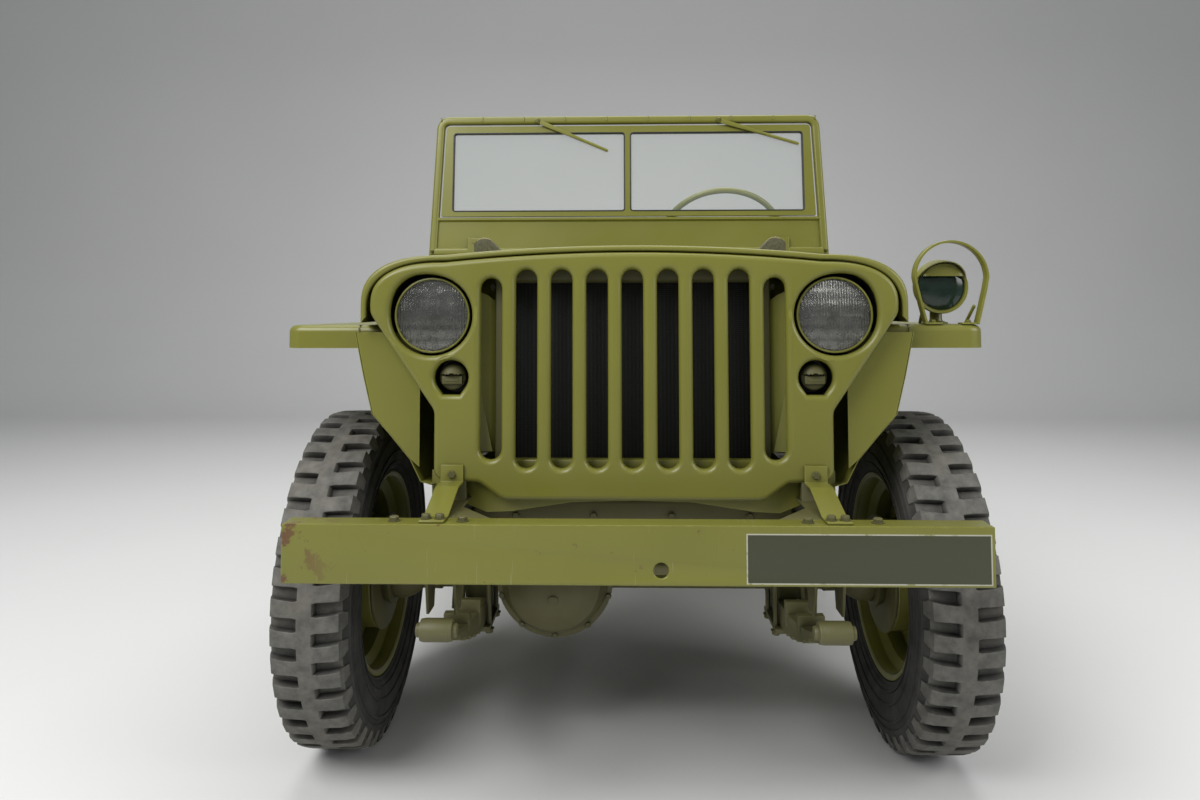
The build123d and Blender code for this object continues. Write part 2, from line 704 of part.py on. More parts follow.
# Tie rod: tube with an eye round the left arm's pin; the right end stops short under the right arm
with BuildPart() as tie_rod:
    with BuildSketch(Plane.YZ.offset(-KING_X + ARM_IN + 20)):
        with Locations((ROD_Y, ROD_Z)):
            Circle(ROD_R)
    extrude(amount=2 * (KING_X - ARM_IN) - 40)
    for side in (1, -1):
        with BuildSketch(Plane.XY.offset(ROD_Z - ROD_R)):
            with Locations((side * (KING_X - ARM_IN), ROD_Y)):
                Circle(ROD_R + 11)
        extrude(amount=2 * ROD_R)
    with BuildSketch(Plane.XY.offset(ROD_Z - ROD_R)):
        with Locations((KING_X - ARM_IN, ROD_Y)):
            Circle(PIN_R + 0.5)
    extrude(amount=2 * ROD_R, mode=Mode.SUBTRACT)
tie_rod.part.label = "tie_rod"
export_step(tie_rod.part, "parts/tie_rod.step")

# Shock absorbers, upright from the spring saddles to the rails
with BuildPart() as shock_absorbers:
    for y, top in ((AXLE_F, RAIL_TOP_FRONT - 30), (AXLE_R, RAIL_TOP_REAR - 30)):
        lean = 70
        foot = Vector(SPRING_X + 60, y + 60, SPRING_LOW - 5)
        head = Vector(RAIL_OUT + 34, y + 60 + lean, top)
        for pin, start in ((foot, SPRING_X + SPRING_W / 2 + 13 + GAP), (head, RAIL_OUT + GAP)):
            with BuildSketch(Plane.YZ.offset(start)):
                with Locations((pin.Y, pin.Z)):
                    Circle(5)
            extrude(amount=pin.X - start)
        path = Plane(origin=foot, z_dir=head - foot)
        with BuildSketch(path):
            Circle(15)
        extrude(amount=(head - foot).length)
        with BuildSketch(path.offset((head - foot).length * 0.35)):
            Circle(25)
        extrude(amount=(head - foot).length * 0.55)
    mirror(about=Plane.YZ)
shock_absorbers.part.label = "shock_absorbers"
export_step(shock_absorbers.part, "parts/shock_absorbers.step")

# Engine, gearbox and transfer case as one plain block at their real size
ENGINE_FRONT = AXLE_F - 90.0
ENGINE_W = 300.0
TRANSFER_Y = AXLE_F + 1010.0
TRANSFER_HALF = 80.0
with BuildPart() as power_unit:
    with Locations((0, ENGINE_FRONT + 300, POWER_Z + 180)):
        Box(ENGINE_W, 600, 420)
    with Locations((0, ENGINE_FRONT + 600 + 130, POWER_Z + 60)):
        Cylinder(150, 262, rotation=(90, 0, 0))
    with Locations((0, ENGINE_FRONT + 600 + 350, POWER_Z + 10)):
        Box(180, 240, 130)
    with Locations((DIFF_X / 2, TRANSFER_Y, POWER_Z - 95)):
        Box(300, 2 * TRANSFER_HALF, 180)
power_unit.part.label = "power_unit"
export_step(power_unit.part, "parts/power_unit.step")


def shaft_between(start, end):
    """Tube from start to end with an upright flange and a fat joint at each end."""
    along = Vector(*end) - Vector(*start)
    path = Plane(origin=Vector(*start) + along * 0.02, z_dir=along)
    with BuildPart() as shaft:
        with BuildSketch(path):
            Circle(SHAFT_R)
        extrude(amount=along.length * 0.96)
        for (x, y, z), into in ((start, 1), (end, -1)):
            with BuildSketch(Plane.XZ.offset(-y)):
                with Locations((x, z)):
                    Circle(SHAFT_R + 12)
            extrude(amount=-into * 30)
    return shaft.part


FLANGE_GAP = 0.5
SHAFT_RISE = POWER_Z - 100
with BuildPart() as prop_shafts:
    add(shaft_between(
        (DIFF_X, AXLE_F + DIFF_NOSE + FLANGE_GAP, TYRE_R),
        (DIFF_X, TRANSFER_Y - TRANSFER_HALF - FLANGE_GAP, SHAFT_RISE),
    ))
    add(shaft_between(
        (DIFF_X, TRANSFER_Y + TRANSFER_HALF + FLANGE_GAP, SHAFT_RISE),
        (DIFF_X, AXLE_R - DIFF_NOSE - FLANGE_GAP, TYRE_R),
    ))
prop_shafts.part.label = "prop_shafts"
export_step(prop_shafts.part, "parts/prop_shafts.step")

# Exhaust: pipe along the right, silencer under the floor, tail pipe
EXHAUST_X = -265.0
EXHAUST_Z = 438.0
with BuildPart() as exhaust:
    for y, radius, length in ((AXLE_F + 750, 20, 800), (AXLE_F + 1330, 46, 400), (AXLE_F + 1640, 20, 300)):
        with BuildSketch(Plane.XZ.offset(-(y + length / 2))):
            with Locations((EXHAUST_X, EXHAUST_Z)):
                Circle(radius)
        extrude(amount=length)
    with Locations((EXHAUST_X, AXLE_F + 1152, EXHAUST_Z + 49)):
        Box(30, 22, 14 - 2 * GAP)
exhaust.part.label = "exhaust"
export_step(exhaust.part, "parts/exhaust.step")

# Grille: stamped plate with nine turned-in slots, lamp openings and flanges folded back
slot_half = (SLOT_TOP - SLOT_LOW) / 2
slot_mid = (SLOT_TOP + SLOT_LOW) / 2
slots = []
for slot in range(SLOTS):
    at_end = slot in (0, SLOTS - 1)
    height = 2 * slot_half - (2 * END_SLOT_CUT if at_end else 0)
    slots.append(((slot - (SLOTS - 1) / 2) * SLOT_PITCH, height))
grille_top = HOOD_TOP_F - SHEET - 3
grille_outline = (
    (HOOD_HALF_F - SHOULDER_IN - SHEET - 3, grille_top - 8),
    (GRILLE_HALF - 12, grille_top - SHOULDER_DROP),
    (GRILLE_HALF, grille_top - SHOULDER_DROP - 14),
    (GRILLE_HALF, GRILLE_EAR_Z),
    (GRILLE_FOOT_HALF, GRILLE_WAIST_Z),
    (GRILLE_FOOT_HALF, GRILLE_BOTTOM + GRILLE_STEP),
    (GRILLE_DROP_HALF + 45, GRILLE_BOTTOM + GRILLE_STEP),
    (GRILLE_DROP_HALF, GRILLE_BOTTOM),
    (-GRILLE_DROP_HALF, GRILLE_BOTTOM),
    (-GRILLE_DROP_HALF - 45, GRILLE_BOTTOM + GRILLE_STEP),
    (-GRILLE_FOOT_HALF, GRILLE_BOTTOM + GRILLE_STEP),
    (-GRILLE_FOOT_HALF, GRILLE_WAIST_Z),
    (-GRILLE_HALF, GRILLE_EAR_Z),
    (-GRILLE_HALF, grille_top - SHOULDER_DROP - 14),
    (-GRILLE_HALF + 12, grille_top - SHOULDER_DROP),
    (-HOOD_HALF_F + SHOULDER_IN + SHEET + 3, grille_top - 8),
    (-HOOD_HALF_F + SHOULDER_IN + SHEET + 93, grille_top),
    (HOOD_HALF_F - SHOULDER_IN - SHEET - 93, grille_top),
)


def grille_face(inset):
    """Outline of the grille, its lower corners rounded, drawn in by inset."""
    with BuildSketch() as face:
        Polygon(*grille_outline, align=None)
        fillet(face.vertices().group_by(Axis.Y)[0] + face.vertices().group_by(Axis.Y)[1], GRILLE_FOOT_R)
        offset(amount=-inset, mode=Mode.REPLACE)
    return face.sketch


with BuildPart() as grille:
    with BuildSketch(Plane.XZ.offset(-GRILLE_Y)):
        add(grille_face(0.01))
    extrude(amount=-GRILLE_FLANGE)
    with BuildSketch(Plane.XZ.offset(-GRILLE_Y - SHEET)):
        add(grille_face(SHEET))
    extrude(amount=-GRILLE_FLANGE, mode=Mode.SUBTRACT)
    with BuildSketch(Plane.XZ.offset(-GRILLE_Y)):
        for x, height in slots:
            with Locations((x, slot_mid)):
                SlotOverall(height, SLOT_W + 2 * SHEET, rotation=90)
    extrude(amount=-SLOT_LIP)
    with BuildSketch(Plane.XZ.offset(-GRILLE_Y)):
        for x, height in slots:
            with Locations((x, slot_mid)):
                SlotOverall(height - 2 * SHEET, SLOT_W, rotation=90)
        for side in (1, -1):
            with Locations((side * LAMP_X, LAMP_Z)):
                Circle(LAMP_OPEN_R)
            with Locations((side * MARKER_X, MARKER_Z)):
                Circle(MARKER_R + 3)
    extrude(amount=-SLOT_LIP, mode=Mode.SUBTRACT)
grille.part.label = "grille"
export_step(grille.part, "parts/grille.step")

# Radiator: core, top tank and filler neck
RIB_W = 16.0
RIB_H = 205.0
RIB_D = 12.0
with BuildPart() as radiator:
    with Locations((0, GRILLE_Y + 75, (SLOT_TOP + SLOT_LOW) / 2 - 10)):
        Box(SLOTS * SLOT_PITCH - 40, 60, SLOT_TOP - SLOT_LOW - 40)
    with Locations((0, GRILLE_Y + 85, SLOT_TOP - 20)):
        Box(SLOTS * SLOT_PITCH - 60, 90, 44)
    for side in (1, -1):
        with Locations((side * 316, GRILLE_Y + 61, 690)):
            Box(70, 22, 36)
        with Locations((side * 335, GRILLE_Y + SHEET + GAP + 30, 690)):
            Box(32, 60, 36)
    # Core rows show as upright ribs through the slots
    with BuildSketch(Plane.XZ.offset(-(GRILLE_Y + 45))):
        with Locations((0, SLOT_LOW + RIB_H / 2 + 10)):
            with GridLocations(SLOT_PITCH / 2, 1, 2 * SLOTS - 2, 1):
                Rectangle(RIB_W, RIB_H)
    extrude(amount=RIB_D)
radiator.part.label = "radiator"
export_step(radiator.part, "parts/radiator.step")

# Lamp bowls behind the grille, and their lenses
LENS_Y = GRILLE_Y + 18.0
with BuildPart() as lamp_bowls:
    for side in (1, -1):
        with BuildSketch(Plane.XY.offset(LAMP_Z)):
            with BuildLine():
                Polyline(
                    (side * LAMP_X, LENS_Y + LAMP_DEPTH),
                    (side * (LAMP_X + 30), LENS_Y + LAMP_DEPTH),
                    (side * (LAMP_X + 62), LENS_Y + LAMP_DEPTH - 50),
                    (side * (LAMP_X + LAMP_LENS_R + 6), LENS_Y + 20),
                    (side * (LAMP_X + LAMP_LENS_R + 6), GRILLE_Y + SHEET + 4),
                    (side * (LAMP_X + LAMP_OPEN_R + 4), GRILLE_Y + SHEET + 4),
                    (side * (LAMP_X + LAMP_OPEN_R + 4), GRILLE_Y + SHEET + GAP),
                    (side * (LAMP_X + LAMP_LENS_R + GAP), GRILLE_Y + SHEET + GAP),
                    (side * (LAMP_X + LAMP_LENS_R + GAP), LENS_Y + 12),
                    (side * LAMP_X, LENS_Y + 12),
                    close=True,
                )
            make_face()
        revolve(axis=Axis((side * LAMP_X, LENS_Y, LAMP_Z), (0, side, 0)))
        with BuildSketch(Plane.XZ.offset(-(GRILLE_Y + SHEET + GAP))):
            with Locations((side * MARKER_X, MARKER_Z)):
                Circle(MARKER_R + 8)
        extrude(amount=-40)
        with BuildSketch(Plane.XZ.offset(-(GRILLE_Y + SHEET + GAP))):
            with Locations((side * MARKER_X, MARKER_Z)):
                Circle(MARKER_R - 4)
        extrude(amount=-8, mode=Mode.SUBTRACT)
lamp_bowls.part.label = "lamp_bowls"
export_step(lamp_bowls.part, "parts/lamp_bowls.step")

with BuildPart() as lamp_lenses:
    for side in (1, -1):
        with BuildSketch(Plane.XZ.offset(-(LENS_Y + 12 - GAP))):
            with Locations((side * LAMP_X, LAMP_Z)):
                Circle(LAMP_LENS_R)
        extrude(amount=14)
        with BuildSketch(Plane.XZ.offset(-(GRILLE_Y + SHEET + 8))):
            with Locations((side * MARKER_X, MARKER_Z)):
                Circle(MARKER_R - 4 - GAP)
        extrude(amount=6)
lamp_lenses.part.label = "lamp_lenses"
export_step(lamp_lenses.part, "parts/lamp_lenses.step")

# Hood: two crowned sections lofted front to rear and shelled from below
def hood_section(half, top, side_drop):
    """Outer section of hood or cowl: flat middle, sloping shoulders, upright sides."""
    return (
        (half, top - side_drop),
        (half, top - SHOULDER_DROP - 12),
        (half - 12, top - SHOULDER_DROP),
        (half - SHOULDER_IN, top - 8),
        (half - SHOULDER_IN - 90, top),
        (-half + SHOULDER_IN + 90, top),
        (-half + SHOULDER_IN, top - 8),
        (-half + 12, top - SHOULDER_DROP),
        (-half, top - SHOULDER_DROP - 12),
        (-half, top - side_drop),
    )


def loft_sections(stations, inset):
    """Sketches of the hood's section at (y, half, top, drop) stations, inset by a wall."""
    faces = []
    for y, half, top, drop in stations:
        with BuildSketch(Plane.XZ.offset(-y)) as section:
            Polygon(*hood_section(half - inset, top - inset, drop + 2 * inset), align=None)
        faces.append(section.sketch.face())
    return faces


HOOD_STATIONS = (
    # y, half width, top, side drop
    (HOOD_FRONT, HOOD_HALF_F, HOOD_TOP_F, HOOD_SIDE_F),
    (HOOD_REAR - GAP, HOOD_HALF_R, HOOD_TOP_R, HOOD_SIDE_R),
)
with BuildPart() as hood:
    loft(loft_sections(HOOD_STATIONS, 0))
    loft(loft_sections(HOOD_STATIONS, SHEET), mode=Mode.SUBTRACT)
hood.part.label = "hood"
export_step(hood.part, "parts/hood.step")

# Wooden blocks on the hood that the folded windscreen rests on
BLOCK_X = 378.0
BLOCK_H = 62.0
BLOCK_D = 60.0
BLOCK_Y = SCREEN_Y - (SCREEN_TOP_Z - PIVOT_Z) + SCREEN_TUBE / 2
block_base = HOOD_TOP_F + (HOOD_TOP_R - HOOD_TOP_F) * (BLOCK_Y - HOOD_FRONT) / (HOOD_REAR - HOOD_FRONT)
with BuildPart() as hood_blocks:
    with BuildSketch(Plane.XZ.offset(-BLOCK_Y + BLOCK_D / 2)):
        Polygon(
            (BLOCK_X + 42, block_base + 1.3),
            (BLOCK_X + 42, block_base + BLOCK_H - 14),
            (BLOCK_X + 30, block_base + BLOCK_H),
            (BLOCK_X, block_base + BLOCK_H),
            (BLOCK_X - 50, block_base + 1.3),
            align=None,
        )
    extrude(amount=-BLOCK_D)
    mirror(about=Plane.YZ)
hood_blocks.part.label = "hood_blocks"
export_step(hood_blocks.part, "parts/hood_blocks.step")

# Line of the steering column, from the wheel down
tilt = math.radians(STEER_TILT)
column_dir = Vector(0, -math.cos(tilt), -math.sin(tilt))
column_top = Vector(COLUMN_X, STEER_Y, STEER_Z)
column_plane = Plane(origin=column_top + column_dir * 45, z_dir=column_dir)
COLUMN_L = 905.0

# Windscreen hinges: pin through a lug between two ears
HINGE_X = 500.0
HINGE_PIN_R = 4.0
LUG_HALF = 15.0

# Cowl: the hood's section carried on to the windscreen, with the firewall at its front
COWL_STATIONS = (
    (HOOD_REAR + GAP, HOOD_HALF_R, HOOD_TOP_R, HOOD_TOP_R - COWL_LOW),
    (COWL_REAR + 10, SCREEN_HALF_LOW, HOOD_TOP_R + 3, HOOD_TOP_R + 3 - COWL_LOW),
)
with BuildPart() as cowl:
    loft(loft_sections(COWL_STATIONS, 0))
    loft(
        loft_sections(
            (
                (HOOD_REAR + GAP + SHEET, HOOD_HALF_R, HOOD_TOP_R, HOOD_TOP_R - COWL_LOW),
                (COWL_REAR + 10, SCREEN_HALF_LOW, HOOD_TOP_R + 3, HOOD_TOP_R + 3 - COWL_LOW),
            ),
            SHEET,
        ),
        mode=Mode.SUBTRACT,
    )
    # Opening in the firewall for the clutch housing
    with BuildSketch(Plane.XZ.offset(-(HOOD_REAR - 5))):
        with Locations((0, COWL_LOW)):
            Rectangle(2 * TUNNEL_HALF, 2 * (TUNNEL_TOP - COWL_LOW))
    extrude(amount=-30, mode=Mode.SUBTRACT)
    with BuildSketch(column_plane):
        Circle(COLUMN_R + 2)
    extrude(amount=COLUMN_L, mode=Mode.SUBTRACT)
    for side in (1, -1):
        for edge in (-LUG_HALF - GAP - 5, LUG_HALF + GAP):
            with BuildSketch(Plane.YZ.offset(side * HINGE_X + edge)):
                with Locations((SCREEN_Y, PIVOT_Z - 18)):
                    Rectangle(13, 48)
            extrude(amount=5)
        with BuildSketch(Plane.YZ.offset(side * HINGE_X - LUG_HALF - 1)):
            with Locations((SCREEN_Y, PIVOT_Z)):
                Circle(HINGE_PIN_R)
        extrude(amount=2 * LUG_HALF + 2)
cowl.part.label = "cowl"
export_step(cowl.part, "parts/cowl.step")

# Dash panel under the cowl's rear edge, with the glovebox opening
with BuildPart() as dash_panel:
    dash_top = HOOD_TOP_R + 1.6 - SHEET
    with BuildSketch(Plane.XZ.offset(-(COWL_REAR + 6))):
        Polygon(*hood_section(SCREEN_HALF_LOW - SHEET - 2.2, dash_top, dash_top - DASH_LOW), align=None)
        with Locations((GLOVE_X, DASH_LOW + 95)):
            Rectangle(GLOVE_W, GLOVE_H, mode=Mode.SUBTRACT)
    extrude(amount=SHEET)
    with BuildSketch(column_plane):
        Circle(COLUMN_R + 2)
    extrude(amount=COLUMN_L, mode=Mode.SUBTRACT)
dash_panel.part.label = "dash_panel"
export_step(dash_panel.part, "parts/dash_panel.step")

with BuildPart() as glovebox_lid:
    with BuildSketch(Plane.XZ.offset(-(COWL_REAR + 6 + SHEET + GAP))):
        with Locations((GLOVE_X, DASH_LOW + 95)):
            Rectangle(GLOVE_W - 6, GLOVE_H - 6)
    extrude(amount=-5)
glovebox_lid.part.label = "glovebox_lid"
export_step(glovebox_lid.part, "parts/glovebox_lid.step")

# Front fenders: flat top, rolled lip, rear slope down to the step, and the inner splash wall
FENDER_SIDE = (
    # y, z of the top surface
    (FENDER_FRONT, FENDER_TOP),
    (FENDER_BEND, FENDER_TOP),
    (ENTRY_FRONT - 110, FENDER_FOOT_Z + 40),
    (ENTRY_FRONT - 30, FENDER_FOOT_Z),
)


def band(points, depth):
    """Closed side outline: a line of points and the same line lowered by depth."""
    return list(points) + [(y, z - depth) for y, z in reversed(points)]


with BuildPart() as fenders:
    with BuildSketch(Plane.YZ.offset(FENDER_IN)):
        Polygon(*band(FENDER_SIDE, SHEET), align=None)
    extrude(amount=FENDER_OUT - FENDER_IN)
    # Outer and front lips
    with BuildSketch(Plane.YZ.offset(FENDER_OUT - SHEET)):
        Polygon(*band(FENDER_SIDE, FENDER_LIP), align=None)
    extrude(amount=SHEET)
    with BuildSketch(Plane.XY.offset(FENDER_TOP - FENDER_LIP)):
        with Locations(((FENDER_IN + FENDER_OUT) / 2, FENDER_FRONT + SHEET / 2)):
            Rectangle(FENDER_OUT - FENDER_IN, SHEET)
    extrude(amount=FENDER_LIP)
    # Splash wall up to the hood's side and down beside the engine
    with BuildSketch(Plane.YZ.offset(FENDER_IN)):
        Polygon(
            (GRILLE_Y + GRILLE_FLANGE + 2, FENDER_TOP),
            (GRILLE_Y + GRILLE_FLANGE + 2, FENDER_TOP - 120),
            (HOOD_REAR - 2, FENDER_TOP - 170),
            (HOOD_REAR - 2, FENDER_TOP),
            align=None,
        )
    extrude(amount=SHEET)
    # Clear of the cowl and the body side
    with BuildSketch(Plane.XY.offset(FENDER_FOOT_Z - 100)):
        Polygon(
            (0, HOOD_REAR - 3),
            (HOOD_HALF_R + SHEET + 1.3, HOOD_REAR - 3),
            (SCREEN_HALF_LOW + SHEET + 1.4, COWL_REAR + 10),
            (SCREEN_HALF_LOW + SHEET + 18.5, ENTRY_FRONT - 6),
            (0, ENTRY_FRONT),
            align=None,
        )
    extrude(amount=500, mode=Mode.SUBTRACT)
    mirror(about=Plane.YZ)
fenders.part.label = "fenders"
export_step(fenders.part, "parts/fenders.step")

# Blackout driving lamp on the left fender: bucket, visor, foot and the hoop that guards it
DRIVE_LAMP_X = 650.0
DRIVE_LAMP_Y = FENDER_FRONT + 70.0
DRIVE_LAMP_Z = FENDER_TOP + 78.0
DRIVE_LAMP_R = 57.0
VISOR_REACH = 34.0
HOOP_HALF = 76.0            # at its widest, level with the lamp's middle
HOOP_FOOT_HALF = 54.0
HOOP_TOP = FENDER_TOP + 172.0
HOOP_T = 5.0
HOOP_W = 22.0
HOOP_Y = DRIVE_LAMP_Y - 55.0
with BuildPart() as blackout_lamp:
    with BuildSketch(Plane.XZ.offset(-DRIVE_LAMP_Y)):
        with Locations((DRIVE_LAMP_X, DRIVE_LAMP_Z)):
            Circle(DRIVE_LAMP_R)
    extrude(amount=-70, taper=12)
    with BuildSketch(Plane.XZ.offset(-DRIVE_LAMP_Y)):
        with Locations((DRIVE_LAMP_X, DRIVE_LAMP_Z)):
            Circle(DRIVE_LAMP_R)
            Circle(DRIVE_LAMP_R - 3, mode=Mode.SUBTRACT)
            with Locations((0, -DRIVE_LAMP_R / 2 - 8)):
                Rectangle(3 * DRIVE_LAMP_R, 1.5 * DRIVE_LAMP_R, mode=Mode.SUBTRACT)
    extrude(amount=VISOR_REACH)
    with BuildSketch(Plane.XY.offset(FENDER_TOP + GAP)):
        with Locations((DRIVE_LAMP_X, DRIVE_LAMP_Y + 30)):
            Circle(14)
    extrude(amount=DRIVE_LAMP_Z - FENDER_TOP - 30)
    # Guard hoop of flat bar, its legs drawn in towards the feet
    with BuildSketch(Plane.XZ.offset(-HOOP_Y + HOOP_W / 2)):
        for inset, mode in ((0, Mode.ADD), (HOOP_T, Mode.SUBTRACT)):
            half = HOOP_HALF - inset
            with BuildLine():
                Polyline(
                    (DRIVE_LAMP_X + half, HOOP_TOP - HOOP_HALF),
                    (DRIVE_LAMP_X + HOOP_FOOT_HALF - inset, FENDER_TOP + GAP),
                    (DRIVE_LAMP_X - HOOP_FOOT_HALF + inset, FENDER_TOP + GAP),
                    (DRIVE_LAMP_X - half, HOOP_TOP - HOOP_HALF),
                )
                ThreePointArc(
                    (DRIVE_LAMP_X - half, HOOP_TOP - HOOP_HALF),
                    (DRIVE_LAMP_X, HOOP_TOP - inset),
                    (DRIVE_LAMP_X + half, HOOP_TOP - HOOP_HALF),
                )
            make_face(mode=mode)
    extrude(amount=-HOOP_W)
blackout_lamp.part.label = "blackout_lamp"
export_step(blackout_lamp.part, "parts/blackout_lamp.step")

# Floor: front floor, step up to the rear floor over the axle, tunnel over the gearbox
with BuildPart() as floor_pan:
    floor_line = (
        (HOOD_REAR + 12, FLOOR_Z),
        (FLOOR_STEP, FLOOR_Z),
        (FLOOR_STEP + 20, REAR_FLOOR_Z),
        (Y_TAIL - SHEET - GAP, REAR_FLOOR_Z),
    )
    with BuildSketch(Plane.YZ.offset(-BODY_HALF)):
        Polygon(*band(floor_line, SHEET), align=None)
    extrude(amount=2 * BODY_HALF)
    floor_plan = (
        # x, y: inside the cowl, out to the body sides, in between the wheel houses
        (HOOD_HALF_R - SHEET - GAP, HOOD_REAR),
        (SCREEN_HALF_LOW - SHEET - 1, COWL_REAR + 11),
        (SCREEN_HALF_LOW + 14, ENTRY_FRONT - 6),
        (BODY_HALF - GAP - 1, ENTRY_FRONT + 98),
        (BODY_HALF - GAP - 1, AXLE_R - HOUSE_HALF),
        (HOUSE_IN + SHEET, AXLE_R - HOUSE_HALF),
        (HOUSE_IN + SHEET, Y_TAIL),
    )
    with BuildSketch(Plane.XY.offset(FLOOR_Z - 50)):
        Polygon(*floor_plan, *[(-x, y) for x, y in reversed(floor_plan)], align=None)
    extrude(amount=200, mode=Mode.INTERSECT)
    tunnel = (
        # y, half width, top
        (HOOD_REAR + 12, TUNNEL_HALF, TUNNEL_TOP),
        (ENGINE_FRONT + 880, TUNNEL_HALF, TUNNEL_TOP),
        (TRANSFER_Y - 20, TUNNEL_HALF - 45, TUNNEL_LOW),
    )
    for inset, mode in ((0, Mode.ADD), (SHEET, Mode.SUBTRACT)):
        faces = []
        for y, half, top in tunnel:
            with BuildSketch(Plane.XZ.offset(-y)) as arch:
                Polygon(
                    (half - inset, FLOOR_Z - SHEET - inset),
                    (half - inset - 30, top - inset),
                    (-half + inset + 30, top - inset),
                    (-half + inset, FLOOR_Z - SHEET - inset),
                    align=None,
                )
            faces.append(arch.sketch.face())
        loft(faces, ruled=True, mode=mode)
floor_pan.part.label = "floor_pan"
export_step(floor_pan.part, "parts/floor_pan.step")

# Body sides: one sheet each in plan, cut by the side view, with the entry and the wheel arch
SIDE_PLAN = (
    # x, y from the firewall back; the cowl's taper carries on to the entry
    (HOOD_HALF_R + 1, HOOD_REAR + 2),
    (SCREEN_HALF_LOW + 1, COWL_REAR + 10),
    (SCREEN_HALF_LOW + 18, ENTRY_FRONT - 6),
    (BODY_HALF, ENTRY_FRONT + 90),
    (BODY_HALF, Y_TAIL),
)
side_outline = (
    (HOOD_REAR + 2, BODY_LOW),
    (AXLE_R - ARCH_R, BODY_LOW),
    (AXLE_R - ARCH_R + 45, HOUSE_TOP - 110),
    (AXLE_R - ARCH_R + 150, HOUSE_TOP),
    (AXLE_R + ARCH_R - 150, HOUSE_TOP),
    (AXLE_R + ARCH_R - 45, HOUSE_TOP - 110),
    (AXLE_R + ARCH_R, REAR_FLOOR_Z - 10),
    (Y_TAIL, REAR_FLOOR_Z - 10),
    (Y_TAIL, BODY_TOP),
    (ENTRY_REAR + 60, BODY_TOP),
    (ENTRY_REAR, BODY_TOP - 80),
    (ENTRY_REAR - 30, SILL_Z + 30),
    (ENTRY_REAR - 60, SILL_Z),
    (ENTRY_FRONT + 70, SILL_Z),
    (ENTRY_FRONT + 10, SILL_Z + 60),
    (ENTRY_FRONT - 6, BODY_TOP - 20),
    (COWL_REAR + 12, HOOD_TOP_R - SHOULDER_DROP - 40),
    (HOOD_REAR + 2, HOOD_TOP_R - SHOULDER_DROP - 40),
)
with BuildPart() as body_sides:
    with BuildSketch(Plane.XY.offset(BODY_LOW)):
        Polygon(*SIDE_PLAN, *[(x + SHEET, y) for x, y in reversed(SIDE_PLAN)], align=None)
    extrude(amount=HOOD_TOP_R - BODY_LOW)
    with BuildSketch(Plane.YZ.offset(HOOD_HALF_R - 5)):
        Polygon(*side_outline, align=None)
    extrude(amount=BODY_HALF - HOOD_HALF_R + 20, mode=Mode.INTERSECT)
    mirror(about=Plane.YZ)
body_sides.part.label = "body_sides"
export_step(body_sides.part, "parts/body_sides.step")

# Rear wheel houses: boxes over the wheels inside the body
with BuildPart() as wheel_houses:
    house = (
        (AXLE_R - HOUSE_HALF, REAR_FLOOR_Z + GAP),
        (AXLE_R - HOUSE_HALF, HOUSE_TOP + SHEET),
        (Y_TAIL - SHEET - GAP, HOUSE_TOP + SHEET),
        (Y_TAIL - SHEET - GAP, REAR_FLOOR_Z + GAP),
    )
    with BuildSketch(Plane.YZ.offset(HOUSE_IN)):
        Polygon(*house, align=None)
    extrude(amount=SHEET)
    with BuildSketch(Plane.XY.offset(HOUSE_TOP + GAP)):
        with Locations(((HOUSE_IN + BODY_HALF - GAP) / 2, (AXLE_R - HOUSE_HALF + Y_TAIL - SHEET - GAP) / 2)):
            Rectangle(BODY_HALF - GAP - HOUSE_IN, Y_TAIL - SHEET - GAP - AXLE_R + HOUSE_HALF)
    extrude(amount=SHEET)
    with BuildSketch(Plane.XZ.offset(-(AXLE_R - HOUSE_HALF))):
        with Locations(((HOUSE_IN + BODY_HALF - GAP) / 2, (HOUSE_TOP + REAR_FLOOR_Z) / 2)):
            Rectangle(BODY_HALF - GAP - HOUSE_IN, HOUSE_TOP - REAR_FLOOR_Z)
    extrude(amount=-SHEET)
    mirror(about=Plane.YZ)
wheel_houses.part.label = "wheel_houses"
export_step(wheel_houses.part, "parts/wheel_houses.step")

# Tool box lids on the wheel houses, hinged along the body side
LID_Y = Y_TAIL - 145.0
LID_L = 250.0
LID_W = 190.0
for name, side in (("left", 1), ("right", -1)):
    with BuildPart() as lid:
        with BuildSketch(Plane.XY.offset(HOUSE_TOP + GAP + SHEET + GAP)):
            with Locations((side * (BODY_HALF - 12 - LID_W / 2), LID_Y)):
                Rectangle(LID_W, LID_L)
        extrude(amount=5)
    lid.part.label = "toolbox_lid_" + name
    export_step(lid.part, "parts/toolbox_lid_" + name + ".step")

# Tail panel between the body sides
with BuildPart() as tail_panel:
    with BuildSketch(Plane.XZ.offset(-(Y_TAIL - SHEET))):
        with Locations((0, (BODY_TOP + REAR_FLOOR_Z - 20) / 2)):
            Rectangle(2 * (BODY_HALF - GAP), BODY_TOP - REAR_FLOOR_Z + 20)
    extrude(amount=-SHEET)
tail_panel.part.label = "tail_panel"
export_step(tail_panel.part, "parts/tail_panel.step")

# Tail lamps
with BuildPart() as tail_lamps:
    for side in (1, -1):
        with BuildSketch(Plane.XZ.offset(-(Y_TAIL + GAP))):
            with Locations((side * 600, 800)):
                Circle(38)
        extrude(amount=-45)
tail_lamps.part.label = "tail_lamps"
export_step(tail_lamps.part, "parts/tail_lamps.step")

